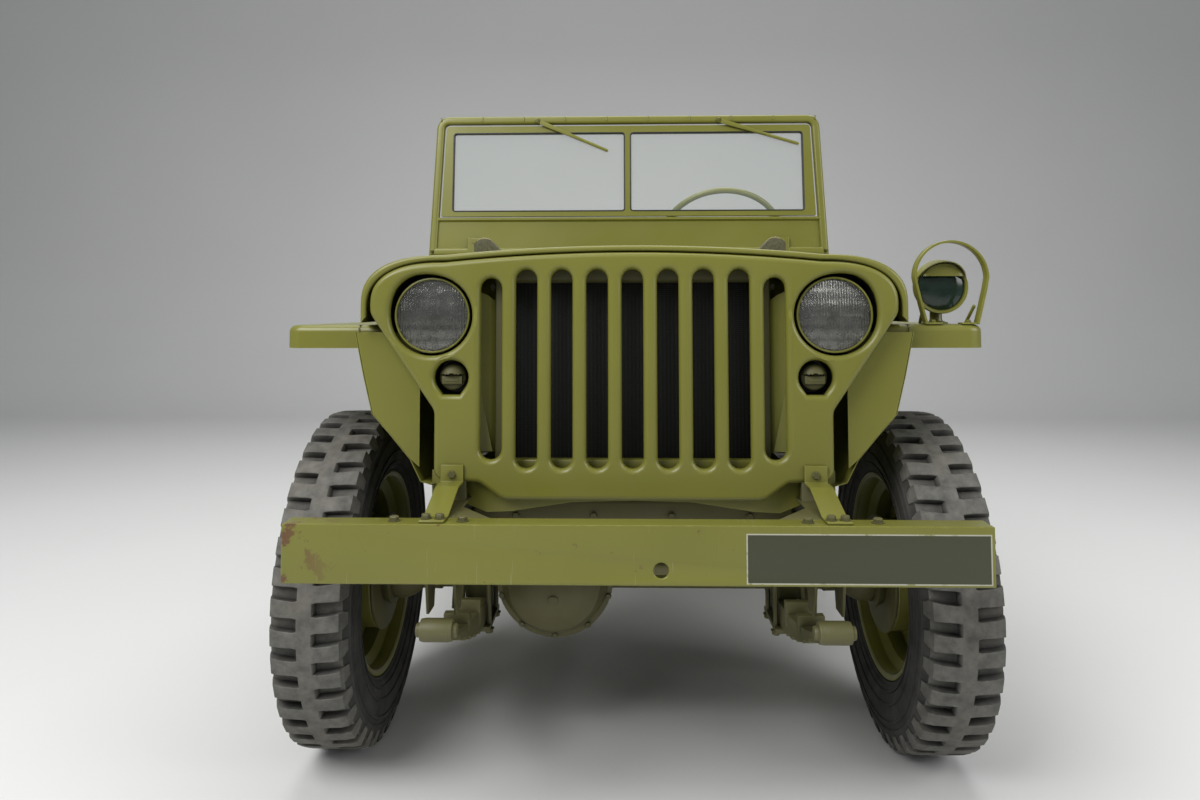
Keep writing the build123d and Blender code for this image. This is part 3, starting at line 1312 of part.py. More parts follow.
# Grab handles: bent bars on the body sides at both ends of the rear wheel arch
HANDLE_OUT = 50.0
HANDLE_L = 200.0
with BuildPart() as grab_handles:
    for y, z in ((ENTRY_REAR + 190, 880), (Y_TAIL - 170, 880)):
        x = BODY_HALF + SHEET + GAP
        with BuildLine(Plane.XY.offset(z)) as bar:
            FilletPolyline(
                (x, y - HANDLE_L / 2),
                (x + HANDLE_OUT, y - HANDLE_L / 2),
                (x + HANDLE_OUT, y + HANDLE_L / 2),
                (x, y + HANDLE_L / 2),
                radius=22,
            )
        with BuildSketch(Plane(origin=bar.line @ 0, z_dir=(1, 0, 0))):
            Circle(7)
        sweep(path=bar.line)
    mirror(about=Plane.YZ)
grab_handles.part.label = "grab_handles"
export_step(grab_handles.part, "parts/grab_handles.step")

# Windscreen, drawn upright on its own plane and leant back about its hinge line
screen_plane = Plane(
    origin=(0, SCREEN_Y, PIVOT_Z),
    x_dir=(1, 0, 0),
    z_dir=(0, -math.cos(math.radians(SCREEN_LEAN)), math.sin(math.radians(SCREEN_LEAN))),
)
screen_h = (SCREEN_TOP_Z - PIVOT_Z) / math.cos(math.radians(SCREEN_LEAN))
panel_h = SCREEN_PANEL_TOP - PIVOT_Z
SCREEN_D = 26.0
SCREEN_FOOT = 12.0              # lower rail's edge above the hinge line
screen_outer = (
    (SCREEN_HALF_LOW, SCREEN_FOOT),
    (SCREEN_HALF_TOP, screen_h),
    (-SCREEN_HALF_TOP, screen_h),
    (-SCREEN_HALF_LOW, SCREEN_FOOT),
)
with BuildPart() as windscreen_frame:
    # Outer tube, square in section with its upper corners rounded
    with BuildSketch(screen_plane.offset(-SCREEN_D / 2)) as outer:
        Polygon(*screen_outer, align=None)
        fillet(outer.vertices().group_by(Axis.Z)[-1], 40)
        offset(amount=-SCREEN_TUBE, mode=Mode.SUBTRACT)
    extrude(amount=SCREEN_D)
    # Sheet panel below the panes
    with BuildSketch(screen_plane.offset(-2)):
        with Locations((0, (panel_h + SCREEN_FOOT) / 2)):
            Rectangle(2 * (SCREEN_HALF_LOW - 8), panel_h - SCREEN_FOOT)
    extrude(amount=SHEET)
    # Hinge lugs down to the pivots
    for side in (1, -1):
        with BuildSketch(Plane.YZ.offset(side * HINGE_X - LUG_HALF)):
            Polygon(
                (SCREEN_Y - 8, PIVOT_Z - 8),
                (SCREEN_Y + 8, PIVOT_Z - 8),
                (SCREEN_Y + 11, PIVOT_Z + SCREEN_FOOT + 6),
                (SCREEN_Y - 11, PIVOT_Z + SCREEN_FOOT + 6),
                align=None,
            )
            with Locations((SCREEN_Y, PIVOT_Z)):
                Circle(HINGE_PIN_R + 0.4, mode=Mode.SUBTRACT)
        extrude(amount=2 * LUG_HALF)
windscreen_frame.part.label = "windscreen_frame"
export_step(windscreen_frame.part, "parts/windscreen_frame.step")

PANE_X = PANE_W / 2 + 10
SASH = 16.0
SASH_D = 14.0
sash_low = panel_h + GAP
sash_top = screen_h - SCREEN_TUBE - GAP - 0.5


def opening_half(height):
    """Half width of the outer tube's opening at a height on the screen's plane."""
    share = (height - SCREEN_FOOT) / (screen_h - SCREEN_FOOT)
    return SCREEN_HALF_LOW + (SCREEN_HALF_TOP - SCREEN_HALF_LOW) * share - SCREEN_TUBE


with BuildPart() as windscreen_sash:
    with BuildSketch(screen_plane.offset(-SASH_D / 2)):
        Polygon(
            (opening_half(sash_low) - 1, sash_low),
            (opening_half(sash_top) - 1, sash_top - 12),
            (opening_half(sash_top) - 13, sash_top),
            (13 - opening_half(sash_top), sash_top),
            (1 - opening_half(sash_top), sash_top - 12),
            (1 - opening_half(sash_low), sash_low),
            align=None,
        )
        for side in (1, -1):
            with Locations((side * PANE_X, (sash_low + sash_top) / 2)):
                RectangleRounded(PANE_W, sash_top - sash_low - 2 * SASH, 22, mode=Mode.SUBTRACT)
    extrude(amount=SASH_D)
windscreen_sash.part.label = "windscreen_sash"
export_step(windscreen_sash.part, "parts/windscreen_sash.step")

with BuildPart() as windscreen_glass:
    with BuildSketch(screen_plane.offset(-GLASS_T / 2)):
        for side in (1, -1):
            with Locations((side * PANE_X, (sash_low + sash_top) / 2)):
                RectangleRounded(PANE_W - 2 * GAP, sash_top - sash_low - 2 * SASH - 2 * GAP, 22)
    extrude(amount=GLASS_T)
windscreen_glass.part.label = "windscreen_glass"
export_step(windscreen_glass.part, "parts/windscreen_glass.step")

# Wipers pivoted on the top rail, parked aslant across each pane
WIPER_L = 230.0
with BuildPart() as wipers:
    for x in (-PANE_X, PANE_X):
        with BuildSketch(screen_plane.offset(SCREEN_D / 2 + GAP)):
            with Locations(Location((x, screen_h - 18), 0)):
                Circle(12)
            with Locations((x + WIPER_L * 0.42, screen_h - 18 - WIPER_L * 0.24)):
                Rectangle(WIPER_L, 9, rotation=-24)
        extrude(amount=7)
wipers.part.label = "wipers"
export_step(wipers.part, "parts/wipers.step")

# Seats: bent tube frames, front pair and one bench behind
def seat_frame(x, y, width, depth, base_z, floor_z, back_h):
    """Seat pan, back plate and four legs of one seat, its cushion's middle at x, y."""
    with BuildPart() as seat:
        with Locations((x, y, base_z - 8)):
            Box(width, depth, 12)
        with Locations((x, y + depth / 2 + 26, base_z + CUSHION_T / 2 + back_h / 2 - 34)):
            Box(width, 10, back_h + CUSHION_T - 20)
        with Locations((x, y + depth / 2 + 14, base_z - 8)):
            Box(width, 34, 12)
        with BuildSketch(Plane.XY.offset(floor_z + GAP)):
            with Locations((x, y)):
                with GridLocations(width - 50, depth - 40, 2, 2):
                    Circle(TUBE_R)
        extrude(amount=base_z - 10 - floor_z - GAP)
    return seat.part


SEATS = (
    # x, y, width, depth, cushion underside, floor, back height
    (SEAT_X, SEAT_Y, SEAT_W, SEAT_D, SEAT_Z, FLOOR_Z, BACK_H),
    (-SEAT_X, SEAT_Y, SEAT_W, SEAT_D, SEAT_Z, FLOOR_Z, BACK_H),
    (0, REAR_SEAT_Y, REAR_SEAT_W, 360, SEAT_Z - 10, REAR_FLOOR_Z, BACK_H - 60),
)
with BuildPart() as seat_frames:
    for place in SEATS:
        add(seat_frame(*place))
seat_frames.part.label = "seat_frames"
export_step(seat_frames.part, "parts/seat_frames.step")

with BuildPart() as seat_cushions:
    for x, y, width, depth, base_z, floor_z, back_h in SEATS:
        with Locations((x, y, base_z - 2 + GAP + CUSHION_T / 2)):
            Box(width, depth - 6, CUSHION_T)
        with Locations((x, y + depth / 2 + 21 - GAP - 30, base_z + CUSHION_T + back_h / 2 - 30)):
            Box(width, 60, back_h - 70)
    fillet(seat_cushions.edges().filter_by(Axis.Z), 12)
seat_cushions.part.label = "seat_cushions"
export_step(seat_cushions.part, "parts/seat_cushions.step")

# Fuel tank under the driver's seat
with BuildPart() as fuel_tank:
    with Locations((SEAT_X, SEAT_Y + 10, (FLOOR_Z + SEAT_Z) / 2 - 20)):
        Box(SEAT_W - 100, SEAT_D - 90, SEAT_Z - FLOOR_Z - 60)
    with Locations((SEAT_X, SEAT_Y + 10, FLOOR_Z + GAP + 14)):
        Box(SEAT_W - 130, SEAT_D - 120, 28)
fuel_tank.part.label = "fuel_tank"
export_step(fuel_tank.part, "parts/fuel_tank.step")

# Steering column from the wheel down through the floor to the box on the left rail
with BuildPart() as steering_column:
    with BuildSketch(column_plane):
        Circle(COLUMN_R)
    extrude(amount=COLUMN_L)
    with Locations((COLUMN_X + 12, AXLE_F + 305, RAIL_TOP_FRONT + GAP + 30)):
        Box(46, 86, 60)
steering_column.part.label = "steering_column"
export_step(steering_column.part, "parts/steering_column.step")

# Steering wheel: rim, three spokes and hub, square to the column
with BuildPart() as steering_wheel:
    wheel_plane = Plane(origin=column_top, x_dir=(1, 0, 0), z_dir=-column_dir)
    with BuildSketch(Plane(origin=column_top, x_dir=(1, 0, 0), z_dir=(0, math.sin(tilt), -math.cos(tilt)))):
        with Locations((STEER_R, 0)):
            Circle(11)
    revolve(axis=Axis(column_top, column_dir))
    with BuildSketch(wheel_plane.offset(-6)):
        with PolarLocations(STEER_R / 2, 3, start_angle=90):
            Rectangle(STEER_R, 14)
    extrude(amount=8)
    with BuildSketch(wheel_plane.offset(-44.5)):
        Circle(30)
    extrude(amount=53.5)
steering_wheel.part.label = "steering_wheel"
export_step(steering_wheel.part, "parts/steering_wheel.step")

# Gear levers on the tunnel
with BuildPart() as levers:
    for x, y, height in ((-10, TRANSFER_Y - 70, 360), (-60, TRANSFER_Y - 40, 260), (-95, TRANSFER_Y - 30, 260)):
        slope = (TUNNEL_TOP - TUNNEL_LOW) / (TRANSFER_Y - ENGINE_FRONT - 900)
        with BuildSketch(Plane.XY.offset(TUNNEL_LOW + 0.5 + (TRANSFER_Y - 12 - y) * slope)):
            with Locations((x, y)):
                Circle(8)
        extrude(amount=height)
levers.part.label = "levers"
export_step(levers.part, "parts/levers.step")

# Pedals: arms up through the front floor with pads tilted towards the seat
PEDALS = (
    # x, arm height, pad width
    (COLUMN_X - 85, 150, 62),
    (COLUMN_X + 45, 150, 62),
    (COLUMN_X + 135, 92, 40),
)
with BuildPart() as pedals:
    for x, height, width in PEDALS:
        with BuildSketch(Plane.YZ.offset(x - 7)):
            Polygon(
                (COWL_REAR - 20, FLOOR_Z + GAP),
                (COWL_REAR + 10, FLOOR_Z + GAP),
                (COWL_REAR - 40, FLOOR_Z + height),
                (COWL_REAR - 58, FLOOR_Z + height),
                align=None,
            )
        extrude(amount=14)
        with BuildSketch(Plane.YZ.offset(x - width / 2)):
            Polygon(
                (COWL_REAR - 62, FLOOR_Z + height - 26),
                (COWL_REAR - 24, FLOOR_Z + height + 34),
                (COWL_REAR - 34, FLOOR_Z + height + 40),
                (COWL_REAR - 72, FLOOR_Z + height - 20),
                align=None,
            )
        extrude(amount=width)
pedals.part.label = "pedals"
export_step(pedals.part, "parts/pedals.step")

# Hood latches: strap and hook on each fender's splash wall, just below the hood's side
LATCH_Y = AXLE_F + 40.0
with BuildPart() as hood_latches:
    for side in (1, -1):
        with Locations((side * (FENDER_IN + SHEET + GAP + 28), LATCH_Y, FENDER_TOP + GAP + 4)):
            Box(56, 44, 8)
        with Locations((side * (FENDER_IN + SHEET + GAP + 47), LATCH_Y, FENDER_TOP + GAP + 22)):
            Box(10, 30, 44)
hood_latches.part.label = "hood_latches"
export_step(hood_latches.part, "parts/hood_latches.step")
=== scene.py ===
import json
from math import atan2, cos, hypot, pi, radians, sin, tan

import bmesh
import bpy
from mathutils import Matrix, Vector
from mathutils.geometry import delaunay_2d_cdt

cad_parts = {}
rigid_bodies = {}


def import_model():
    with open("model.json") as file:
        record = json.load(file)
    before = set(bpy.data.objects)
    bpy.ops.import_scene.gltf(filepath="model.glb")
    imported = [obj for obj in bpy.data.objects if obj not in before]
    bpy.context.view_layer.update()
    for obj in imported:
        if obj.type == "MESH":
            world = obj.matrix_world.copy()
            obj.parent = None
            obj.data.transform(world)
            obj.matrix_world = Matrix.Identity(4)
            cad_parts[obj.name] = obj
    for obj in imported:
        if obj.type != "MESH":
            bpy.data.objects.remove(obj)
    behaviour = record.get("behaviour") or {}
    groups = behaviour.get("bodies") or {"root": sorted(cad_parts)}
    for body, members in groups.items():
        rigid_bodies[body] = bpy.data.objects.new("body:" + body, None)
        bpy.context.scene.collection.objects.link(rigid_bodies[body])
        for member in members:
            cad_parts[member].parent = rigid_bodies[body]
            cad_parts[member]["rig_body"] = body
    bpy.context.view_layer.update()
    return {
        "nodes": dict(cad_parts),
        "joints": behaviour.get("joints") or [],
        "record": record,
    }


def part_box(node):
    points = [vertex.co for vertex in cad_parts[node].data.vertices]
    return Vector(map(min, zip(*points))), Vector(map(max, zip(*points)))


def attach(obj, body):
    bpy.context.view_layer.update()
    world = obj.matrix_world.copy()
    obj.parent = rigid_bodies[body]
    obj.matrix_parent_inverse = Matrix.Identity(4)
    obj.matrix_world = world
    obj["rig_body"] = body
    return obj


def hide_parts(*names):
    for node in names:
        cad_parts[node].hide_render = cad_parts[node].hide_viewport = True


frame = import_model()

# Quarter-ton utility car in metres. Front faces -Y, +X is the car's left, +Z up.
MM = 0.001


def joint_place(name):
    """Where a joint of the frame sits."""
    for joint in frame["joints"]:
        if joint["name"] == name:
            return Vector(joint["pos_m"])


AXLE_F = joint_place("roll_front_left").y
AXLE_R = joint_place("roll_rear_left").y
TYRE_R = joint_place("roll_front_left").z

# Colours, scene-linear
OLIVE = (0.160, 0.158, 0.024)
OLIVE_DARK = (0.080, 0.076, 0.022)
RUBBER = (0.030, 0.029, 0.027)
DUST = (0.22, 0.19, 0.13)
RUST = (0.11, 0.045, 0.020)
CANVAS = (0.20, 0.185, 0.10)

# Bumper, and the bare panel where a registration would go
BUMPER_FACE = AXLE_F - 0.500
PANEL_X = (0.190, 0.604)
PANEL_Z = (0.486, 0.571)
PANEL_LINE = 0.0022


FORWARD, BACKWARD = (0, -1, 0), (0, 1, 0)
UPWARD, DOWNWARD = (0, 0, 1), (0, 0, -1)
ACROSS = (1, 0, 0)


# Mesh helpers


def add_piece(name, mesh, material, body="chassis", replaces=(), slot=None):
    """An object for this mesh that rides on a body, hiding the nodes it stands for."""
    piece = bpy.data.objects.new(name, mesh)
    bpy.context.scene.collection.objects.link(piece)
    piece.data.materials.clear()
    piece.data.materials.append(material)
    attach(piece, body)
    slot or SLOT_OF_MATERIAL[material]
    if replaces:
        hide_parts(*replaces)
    return piece


def mesh_of(name, build):
    """A mesh filled by build(bm)."""
    bm = bmesh.new()
    build(bm)
    bmesh.ops.recalc_face_normals(bm, faces=bm.faces)
    mesh = bpy.data.meshes.new(name)
    bm.to_mesh(mesh)
    bm.free()
    return mesh


def mesh_builder(name):
    """Turns a function that fills a bmesh into one that returns a mesh of this name."""
    def wrap(build):
        return lambda *given: mesh_of(name, lambda bm: build(bm, *given))
    return wrap


def smooth(mesh, degrees=35):
    """Smooth shading, with edges sharper than this angle kept sharp."""
    mesh.shade_smooth()
    mesh.set_sharp_from_angle(angle=radians(degrees))


def with_modifiers(piece, *settings):
    """Adds modifiers, each given as (type, {setting: value}), and applies them all."""
    for kind, values in settings:
        modifier = piece.modifiers.new(kind.lower(), kind)
        for key, value in values.items():
            setattr(modifier, key, value)
    bpy.context.view_layer.update()
    evaluated = piece.evaluated_get(bpy.context.evaluated_depsgraph_get())
    mesh = bpy.data.meshes.new_from_object(evaluated)
    piece.modifiers.clear()
    piece.data = mesh
    return piece


def add_shaded(name, mesh, material, body="chassis", replaces=(), slot=None, angle=35, modifiers=(),
               even=False):
    """A piece with modifiers applied, shaded smooth up to this angle; even follows the larger faces."""
    piece = add_piece(name, mesh, material, body, replaces, slot)
    if modifiers:
        with_modifiers(piece, *modifiers)
    smooth(piece.data, angle)
    if even:
        with_modifiers(piece, ("WEIGHTED_NORMAL", {"keep_sharp": True, "weight": 80}))
    return piece


def sheet(thickness, offset=-1.0):
    """Modifier that gives a surface this thickness."""
    return "SOLIDIFY", {"thickness": thickness, "offset": offset}


def bevel(width, segments=2, degrees=35):
    """Modifier that rounds the edges sharper than this angle."""
    return "BEVEL", {"width": width, "segments": segments, "limit_method": "ANGLE",
                     "angle_limit": radians(degrees)}


def softened(node, material, width):
    """A copy of a CAD node with its sharp edges rounded to this many mm, which stands for the node."""
    source = frame["nodes"][node]
    bm = bmesh.new()
    bm.from_mesh(source.data)
    bmesh.ops.remove_doubles(bm, verts=bm.verts, dist=0.00002)
    bmesh.ops.dissolve_limit(bm, angle_limit=radians(1.5), verts=bm.verts, edges=bm.edges)
    mesh = bpy.data.meshes.new(node + "_soft")
    bm.to_mesh(mesh)
    bm.free()
    add_shaded(node + "_soft", mesh, material, source["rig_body"], [node], SLOT_OF_NODE[node],
               modifiers=[bevel(width * MM)])


def mm_pairs(*values):
    """Pairs in metres from a flat list in mm."""
    return [(a / 1000, b / 1000) for a, b in zip(values[::2], values[1::2])]


def turns(count, shift=0.0):
    """Angles of equal steps round a circle, the first one moved on by this share of a step."""
    return [2 * pi * (k + shift) / count for k in range(count)]


def skin(bm, rows, wrap=False, loop=False, ends=False):
    """Faces between rows of points; wrap joins each row's ends, loop the last row and the first."""
    rows = [[bm.verts.new(point) for point in row] for row in rows]
    for a, b in zip(rows, rows[1:] + rows[:1] if loop else rows[1:]):
        for k in range(len(a) if wrap else len(a) - 1):
            n = (k + 1) % len(a)
            bm.faces.new((a[k], a[n], b[n], b[k]))
    if ends:
        bm.faces.new(rows[0])
        bm.faces.new(rows[-1])
    return rows


def lathe(bm, profile, centre, axis, steps=48, closed=False):
    """Revolves (radius, along) points about an axis through centre."""
    turn = Vector(axis).to_track_quat("Z", "Y").to_matrix()
    rings = []
    for a in turns(steps):
        rings.append([bm.verts.new(Vector(centre) + turn @ Vector((r * cos(a), r * sin(a), z)))
                      for r, z in profile])
    count = len(profile)
    last = count if closed else count - 1
    for i in range(steps):
        here, there = rings[i], rings[(i + 1) % steps]
        for j in range(last):
            k = (j + 1) % count
            bm.faces.new((here[j], there[j], there[k], here[k]))


def tube(bm, points, radius, sides=12, closed=False):
    """A round tube through the points."""
    points = [Vector(p) for p in points]
    count = len(points)
    rings = []
    normal = None
    for i, point in enumerate(points):
        before = points[i - 1] if (closed or i > 0) else point
        after = points[(i + 1) % count] if (closed or i < count - 1) else point
        along = (after - before).normalized()
        if normal is None:
            normal = along.orthogonal().normalized()
        normal = (normal - along * normal.dot(along)).normalized()
        across = along.cross(normal)
        rings.append([point + radius * (normal * cos(a) + across * sin(a)) for a in turns(sides)])
    skin(bm, rings, wrap=True, loop=closed, ends=not closed)


def rounded_box(bm, centre, size, turn=None, radius=0.002, segments=2):
    """A box with rounded edges."""
    matrix = Matrix.Translation(Vector(centre)) @ (turn.to_4x4() if turn else Matrix.Identity(4))
    made = bmesh.ops.create_cube(bm, size=1.0, matrix=matrix @ Matrix.Diagonal((*size, 1)))
    edges = list(dict.fromkeys(e for v in made["verts"] for e in v.link_edges))
    bmesh.ops.bevel(bm, geom=edges, offset=radius, segments=segments, affect="EDGES", profile=0.5)


def hex_bolt(bm, centre, axis, across=0.013, height=0.006):
    """A hexagon head on a washer, standing on a face with this outward normal."""
    turn = Vector(axis).to_track_quat("Z", "Y").to_matrix()
    corner = across / 2 / cos(pi / 6)
    lathe(bm, ((0.0001, 0), (corner * 1.25, 0), (corner * 1.25, 0.0015), (0.0001, 0.0015)), centre, axis, 20,
          closed=True)
    low = Vector(centre) + turn @ Vector((0, 0, 0.0015))
    rings = skin(bm, [[low + turn @ Vector((r * cos(k * pi / 3), r * sin(k * pi / 3), z))
                       for k in range(6)] for r, z in ((corner, 0), (corner, height * 0.8),
                                                       (corner * 0.86, height))],
                 wrap=True)
    bm.faces.new(rings[-1])
    bm.faces.new(rings[0])


def rivet(bm, centre, axis, radius=0.005):
    """A domed rivet head."""
    profile = [(radius * cos(a), radius * 0.6 * sin(a)) for a in (0, 0.5, 1.0, 1.45)]
    lathe(bm, [(0.00005, 0)] + profile + [(0.00005, radius * 0.6)], centre, axis, 14, closed=True)


def rounded_outline(corners, steps=6):
    """Closed outline from (x, z, radius) corners, each turned into an arc."""
    points = []
    count = len(corners)
    for i, (x, z, radius) in enumerate(corners):
        here = Vector((x, z))
        back = (Vector(corners[i - 1][:2]) - here).normalized()
        ahead = (Vector(corners[(i + 1) % count][:2]) - here).normalized()
        half = back.angle(ahead) / 2
        if radius == 0 or half > pi / 2 - 0.01:
            points.append(here)
            continue
        centre = here + (back + ahead).normalized() * radius / sin(half)
        start = here + back * radius / tan(half) - centre
        end = here + ahead * radius / tan(half) - centre
        first = atan2(start.y, start.x)
        turn = (atan2(end.y, end.x) - first + pi) % (2 * pi) - pi
        for k in range(steps + 1):
            a = first + turn * k / steps
            points.append(centre + radius * Vector((cos(a), sin(a))))
    return points


def slot_outline(x, low, high, radius, steps=8):
    """A round-ended upright slot, anticlockwise."""
    points = []
    for z, first in ((high - radius, 0.0), (low + radius, pi)):
        for k in range(steps + 1):
            a = first + pi * k / steps
            points.append(Vector((x + radius * cos(a), z + radius * sin(a))))
    return points


def inset_loop(points, distance):
    """An anticlockwise loop moved inwards by this distance."""
    moved = []
    for i, point in enumerate(points):
        back = (point - points[i - 1]).normalized()
        ahead = (points[(i + 1) % len(points)] - point).normalized()
        first = Vector((-back.y, back.x))
        mean = (first + Vector((-ahead.y, ahead.x))).normalized()
        moved.append(point + mean * distance / max(0.5, mean.dot(first)))
    return moved


def inside(point, loop):
    """Whether a point of the plane lies inside a closed loop."""
    found = False
    for a, b in zip(loop, loop[1:] + loop[:1]):
        if (a.y > point.y) != (b.y > point.y):
            if point.x < a.x + (point.y - a.y) / (b.y - a.y) * (b.x - a.x):
                found = not found
    return found


def fill_loops(bm, outline, holes, place):
    """Triangles between an outline and the holes in it, put in space by place(x, z)."""
    points, edges = [], []
    for loop in [outline] + holes:
        first = len(points)
        points += loop
        edges += [(first + k, first + (k + 1) % len(loop)) for k in range(len(loop))]
    found, _, faces, *_ = delaunay_2d_cdt(points, edges, [], 0, 1e-6)
    verts = [bm.verts.new(place(p.x, p.y)) for p in found]
    for face in faces:
        middle = sum((found[i] for i in face), Vector((0, 0))) / len(face)
        if inside(middle, outline) and not any(inside(middle, hole) for hole in holes):
            bm.faces.new([verts[i] for i in face])


def pressed_plate(bm, outline, holes, face_y, roll, rim, lip):
    """Sheet facing -Y, rolled back round its outline to depth rim and in round each hole to depth lip."""
    inner_edges = []
    for loop, sign, deep in [(outline, 1, rim)] + [(hole, -1, lip) for hole in holes]:
        rows = []
        for step in range(6):
            t = pi / 2 * step / 5
            flat = inset_loop(loop, sign * roll * (1 - sin(t)))
            rows.append([Vector((p.x, face_y + roll * (1 - cos(t)), p.y)) for p in flat])
        rows.append([Vector((p.x, face_y + deep, p.y)) for p in loop])
        inner_edges.append([Vector((p.x, p.z)) for p in rows[0]])
        skin(bm, rows, wrap=True)
    fill_loops(bm, inner_edges[0], inner_edges[1:], lambda x, z: Vector((x, face_y, z)))
    bmesh.ops.remove_doubles(bm, verts=bm.verts, dist=0.00001)


# Materials


class Shader:
    """A node material with short calls for the usual nodes."""

    def __init__(self, name):
        self.material = bpy.data.materials.new(name)
        self.material.use_nodes = True
        self.tree = self.material.node_tree
        self.tree.nodes.clear()
        self.bsdf = self.node("BsdfPrincipled")
        self.link(self.bsdf.outputs[0], self.node("OutputMaterial").inputs[0])
        self.coords = self.node("TexCoord").outputs["Object"]

    def link(self, a, b):
        self.tree.links.new(a, b)

    def put(self, socket, value):
        if hasattr(value, "is_linked"):
            self.link(value, socket)
        else:
            colour = isinstance(value, tuple) and len(value) == 3 and socket.type == "RGBA"
            socket.default_value = (*value, 1) if colour else value

    def fill(self, node, values):
        for key, value in values.items():
            self.put(node.inputs[key.replace("_", " ")], value)
        return node

    def node(self, kind, **values):
        """A new node with values or links on the sockets of these names."""
        return self.fill(self.tree.nodes.new("ShaderNode" + kind), values)

    def set(self, **values):
        self.fill(self.bsdf, values)

    def noise(self, scale, detail=4.0, rough=0.6, stretch=None, distortion=0.0):
        place = self.node("Mapping", Vector=self.coords, Scale=stretch).outputs[0] if stretch else self.coords
        return self.node("TexNoise", Scale=scale, Detail=detail, Roughness=rough, Distortion=distortion,
                         Vector=place).outputs["Fac"]

    def wave(self, scale, direction):
        node = self.node("TexWave", Scale=scale, Distortion=0.0, Vector=self.coords)
        node.bands_direction = direction
        return node.outputs["Fac"]

    def between(self, value, low, high, to_low=0.0, to_high=1.0):
        return self.node("MapRange", Value=value, From_Min=low, From_Max=high, To_Min=to_low,
                         To_Max=to_high).outputs[0]

    def mix(self, share, a, b):
        node = self.node("Mix")
        node.data_type = "RGBA"
        for index, value in ((0, share), (6, a), (7, b)):
            self.put(node.inputs[index], value)
        return node.outputs[2]

    def maths(self, operation, a, b):
        node = self.node("Math")
        node.operation = operation
        self.put(node.inputs[0], a)
        self.put(node.inputs[1], b)
        return node.outputs[0]

    def times(self, a, b):
        return self.maths("MULTIPLY", a, b)

    def axis(self, name):
        """One coordinate of the point in metres."""
        return self.node("SeparateXYZ", Vector=self.coords).outputs[name]

    def occlusion(self, distance):
        """0 deep in corners and hollows, 1 in the open."""
        node = self.node("AmbientOcclusion", Distance=distance)
        node.samples = 8
        return node.outputs["AO"]

    def inside_box(self, across, up, xs, zs, inset=0.0):
        """1 within a rectangle of the XZ plane."""
        found = None
        for value, (low, high) in ((across, xs), (up, zs)):
            for part in (self.between(value, low + inset - 0.0005, low + inset + 0.0005),
                         self.between(value, high - inset + 0.0005, high - inset - 0.0005)):
                found = part if found is None else self.times(found, part)
        return found

    def edges(self, radius=0.0035):
        """1 where the surface turns sharply within this radius, 0 on flat and gently curved faces."""
        round_over = self.node("Bevel", Radius=radius)
        round_over.samples = 4
        dot = self.node("VectorMath")
        dot.operation = "DOT_PRODUCT"
        self.link(round_over.outputs[0], dot.inputs[0])
        self.link(self.node("NewGeometry").outputs["Normal"], dot.inputs[1])
        return self.between(dot.outputs["Value"], 0.985, 0.90)

    def bump(self, height, strength, distance, normal=None):
        node = self.node("Bump", Height=height, Strength=strength, Distance=distance)
        if normal is not None:
            self.link(normal, node.inputs["Normal"])
        return node.outputs[0]


def paint_material(name, colour, rough=0.34, dust=0.25, bumper=False):
    """Brushed paint with drift, dimples, worn edges, dust and painted shade in the hollows; the bumper adds
    chips and a panel.
    """
    s = Shader(name)
    light = tuple(min(1.0, c * 1.07 + 0.002) for c in colour)
    deep = tuple(c * 0.93 for c in colour)
    base = s.mix(s.between(s.noise(2.4, 2), 0.30, 0.70), deep, light)
    worn = s.times(s.edges(), s.between(s.noise(60, 4), 0.42, 0.62))
    base = s.mix(s.times(worn, 0.5), base, tuple(min(1.0, c * 1.9 + 0.02) for c in colour))
    low = s.between(s.axis("Z"), 0.75, 0.30)
    dusty = s.times(low, s.between(s.noise(9, 5), 0.35, 0.75, 0, dust * 1.4))
    base = s.mix(dusty, base, DUST)
    # Painted shade: the paint turns darker in corners and hollows, where shade falls
    hollow_shade = s.between(s.occlusion(0.05), 0.15, 0.75)
    base = s.mix(hollow_shade, tuple(c * 0.42 for c in colour), base)
    if bumper:
        base = bumper_marks(s, base)
    grain = s.maths("ADD", s.times(s.noise(420, 2), 0.35), s.noise(14, 3))
    s.set(Base_Color=base,
          Roughness=s.between(s.noise(7, 4), 0.3, 0.7, rough - 0.06, rough + 0.10),
          Specular_IOR_Level=0.45,
          Normal=s.bump(grain, 0.10, 0.0012))
    return s.material


def bumper_marks(s, base):
    """Chips to the primer near the right end, long scratches, and a bare panel with a worn outline."""
    across = s.axis("X")
    end = s.between(across, -0.50, -0.60)
    spots = s.between(s.noise(21, 6, 0.7), 0.55, 0.57)
    base = s.mix(s.times(s.times(spots, end), 0.9), base, RUST)
    few = s.between(s.noise(46, 5, 0.7), 0.685, 0.70)
    base = s.mix(s.times(few, 0.8), base, RUST)
    scratch = s.between(s.noise(9, 3, 0.5, stretch=(26, 1, 1)), 0.665, 0.69)
    base = s.mix(s.times(scratch, 0.35), base, (0.30, 0.28, 0.16))
    front = s.between(s.axis("Y"), BUMPER_FACE + 0.002, BUMPER_FACE + 0.001)
    panel = s.times(front, s.inside_box(across, s.axis("Z"), PANEL_X, PANEL_Z))
    inner = s.times(front, s.inside_box(across, s.axis("Z"), PANEL_X, PANEL_Z, PANEL_LINE))
    base = s.mix(s.times(panel, s.between(s.noise(50, 4), 0.3, 0.45)), base, (0.42, 0.41, 0.33))
    return s.mix(inner, base, (0.040, 0.044, 0.020))


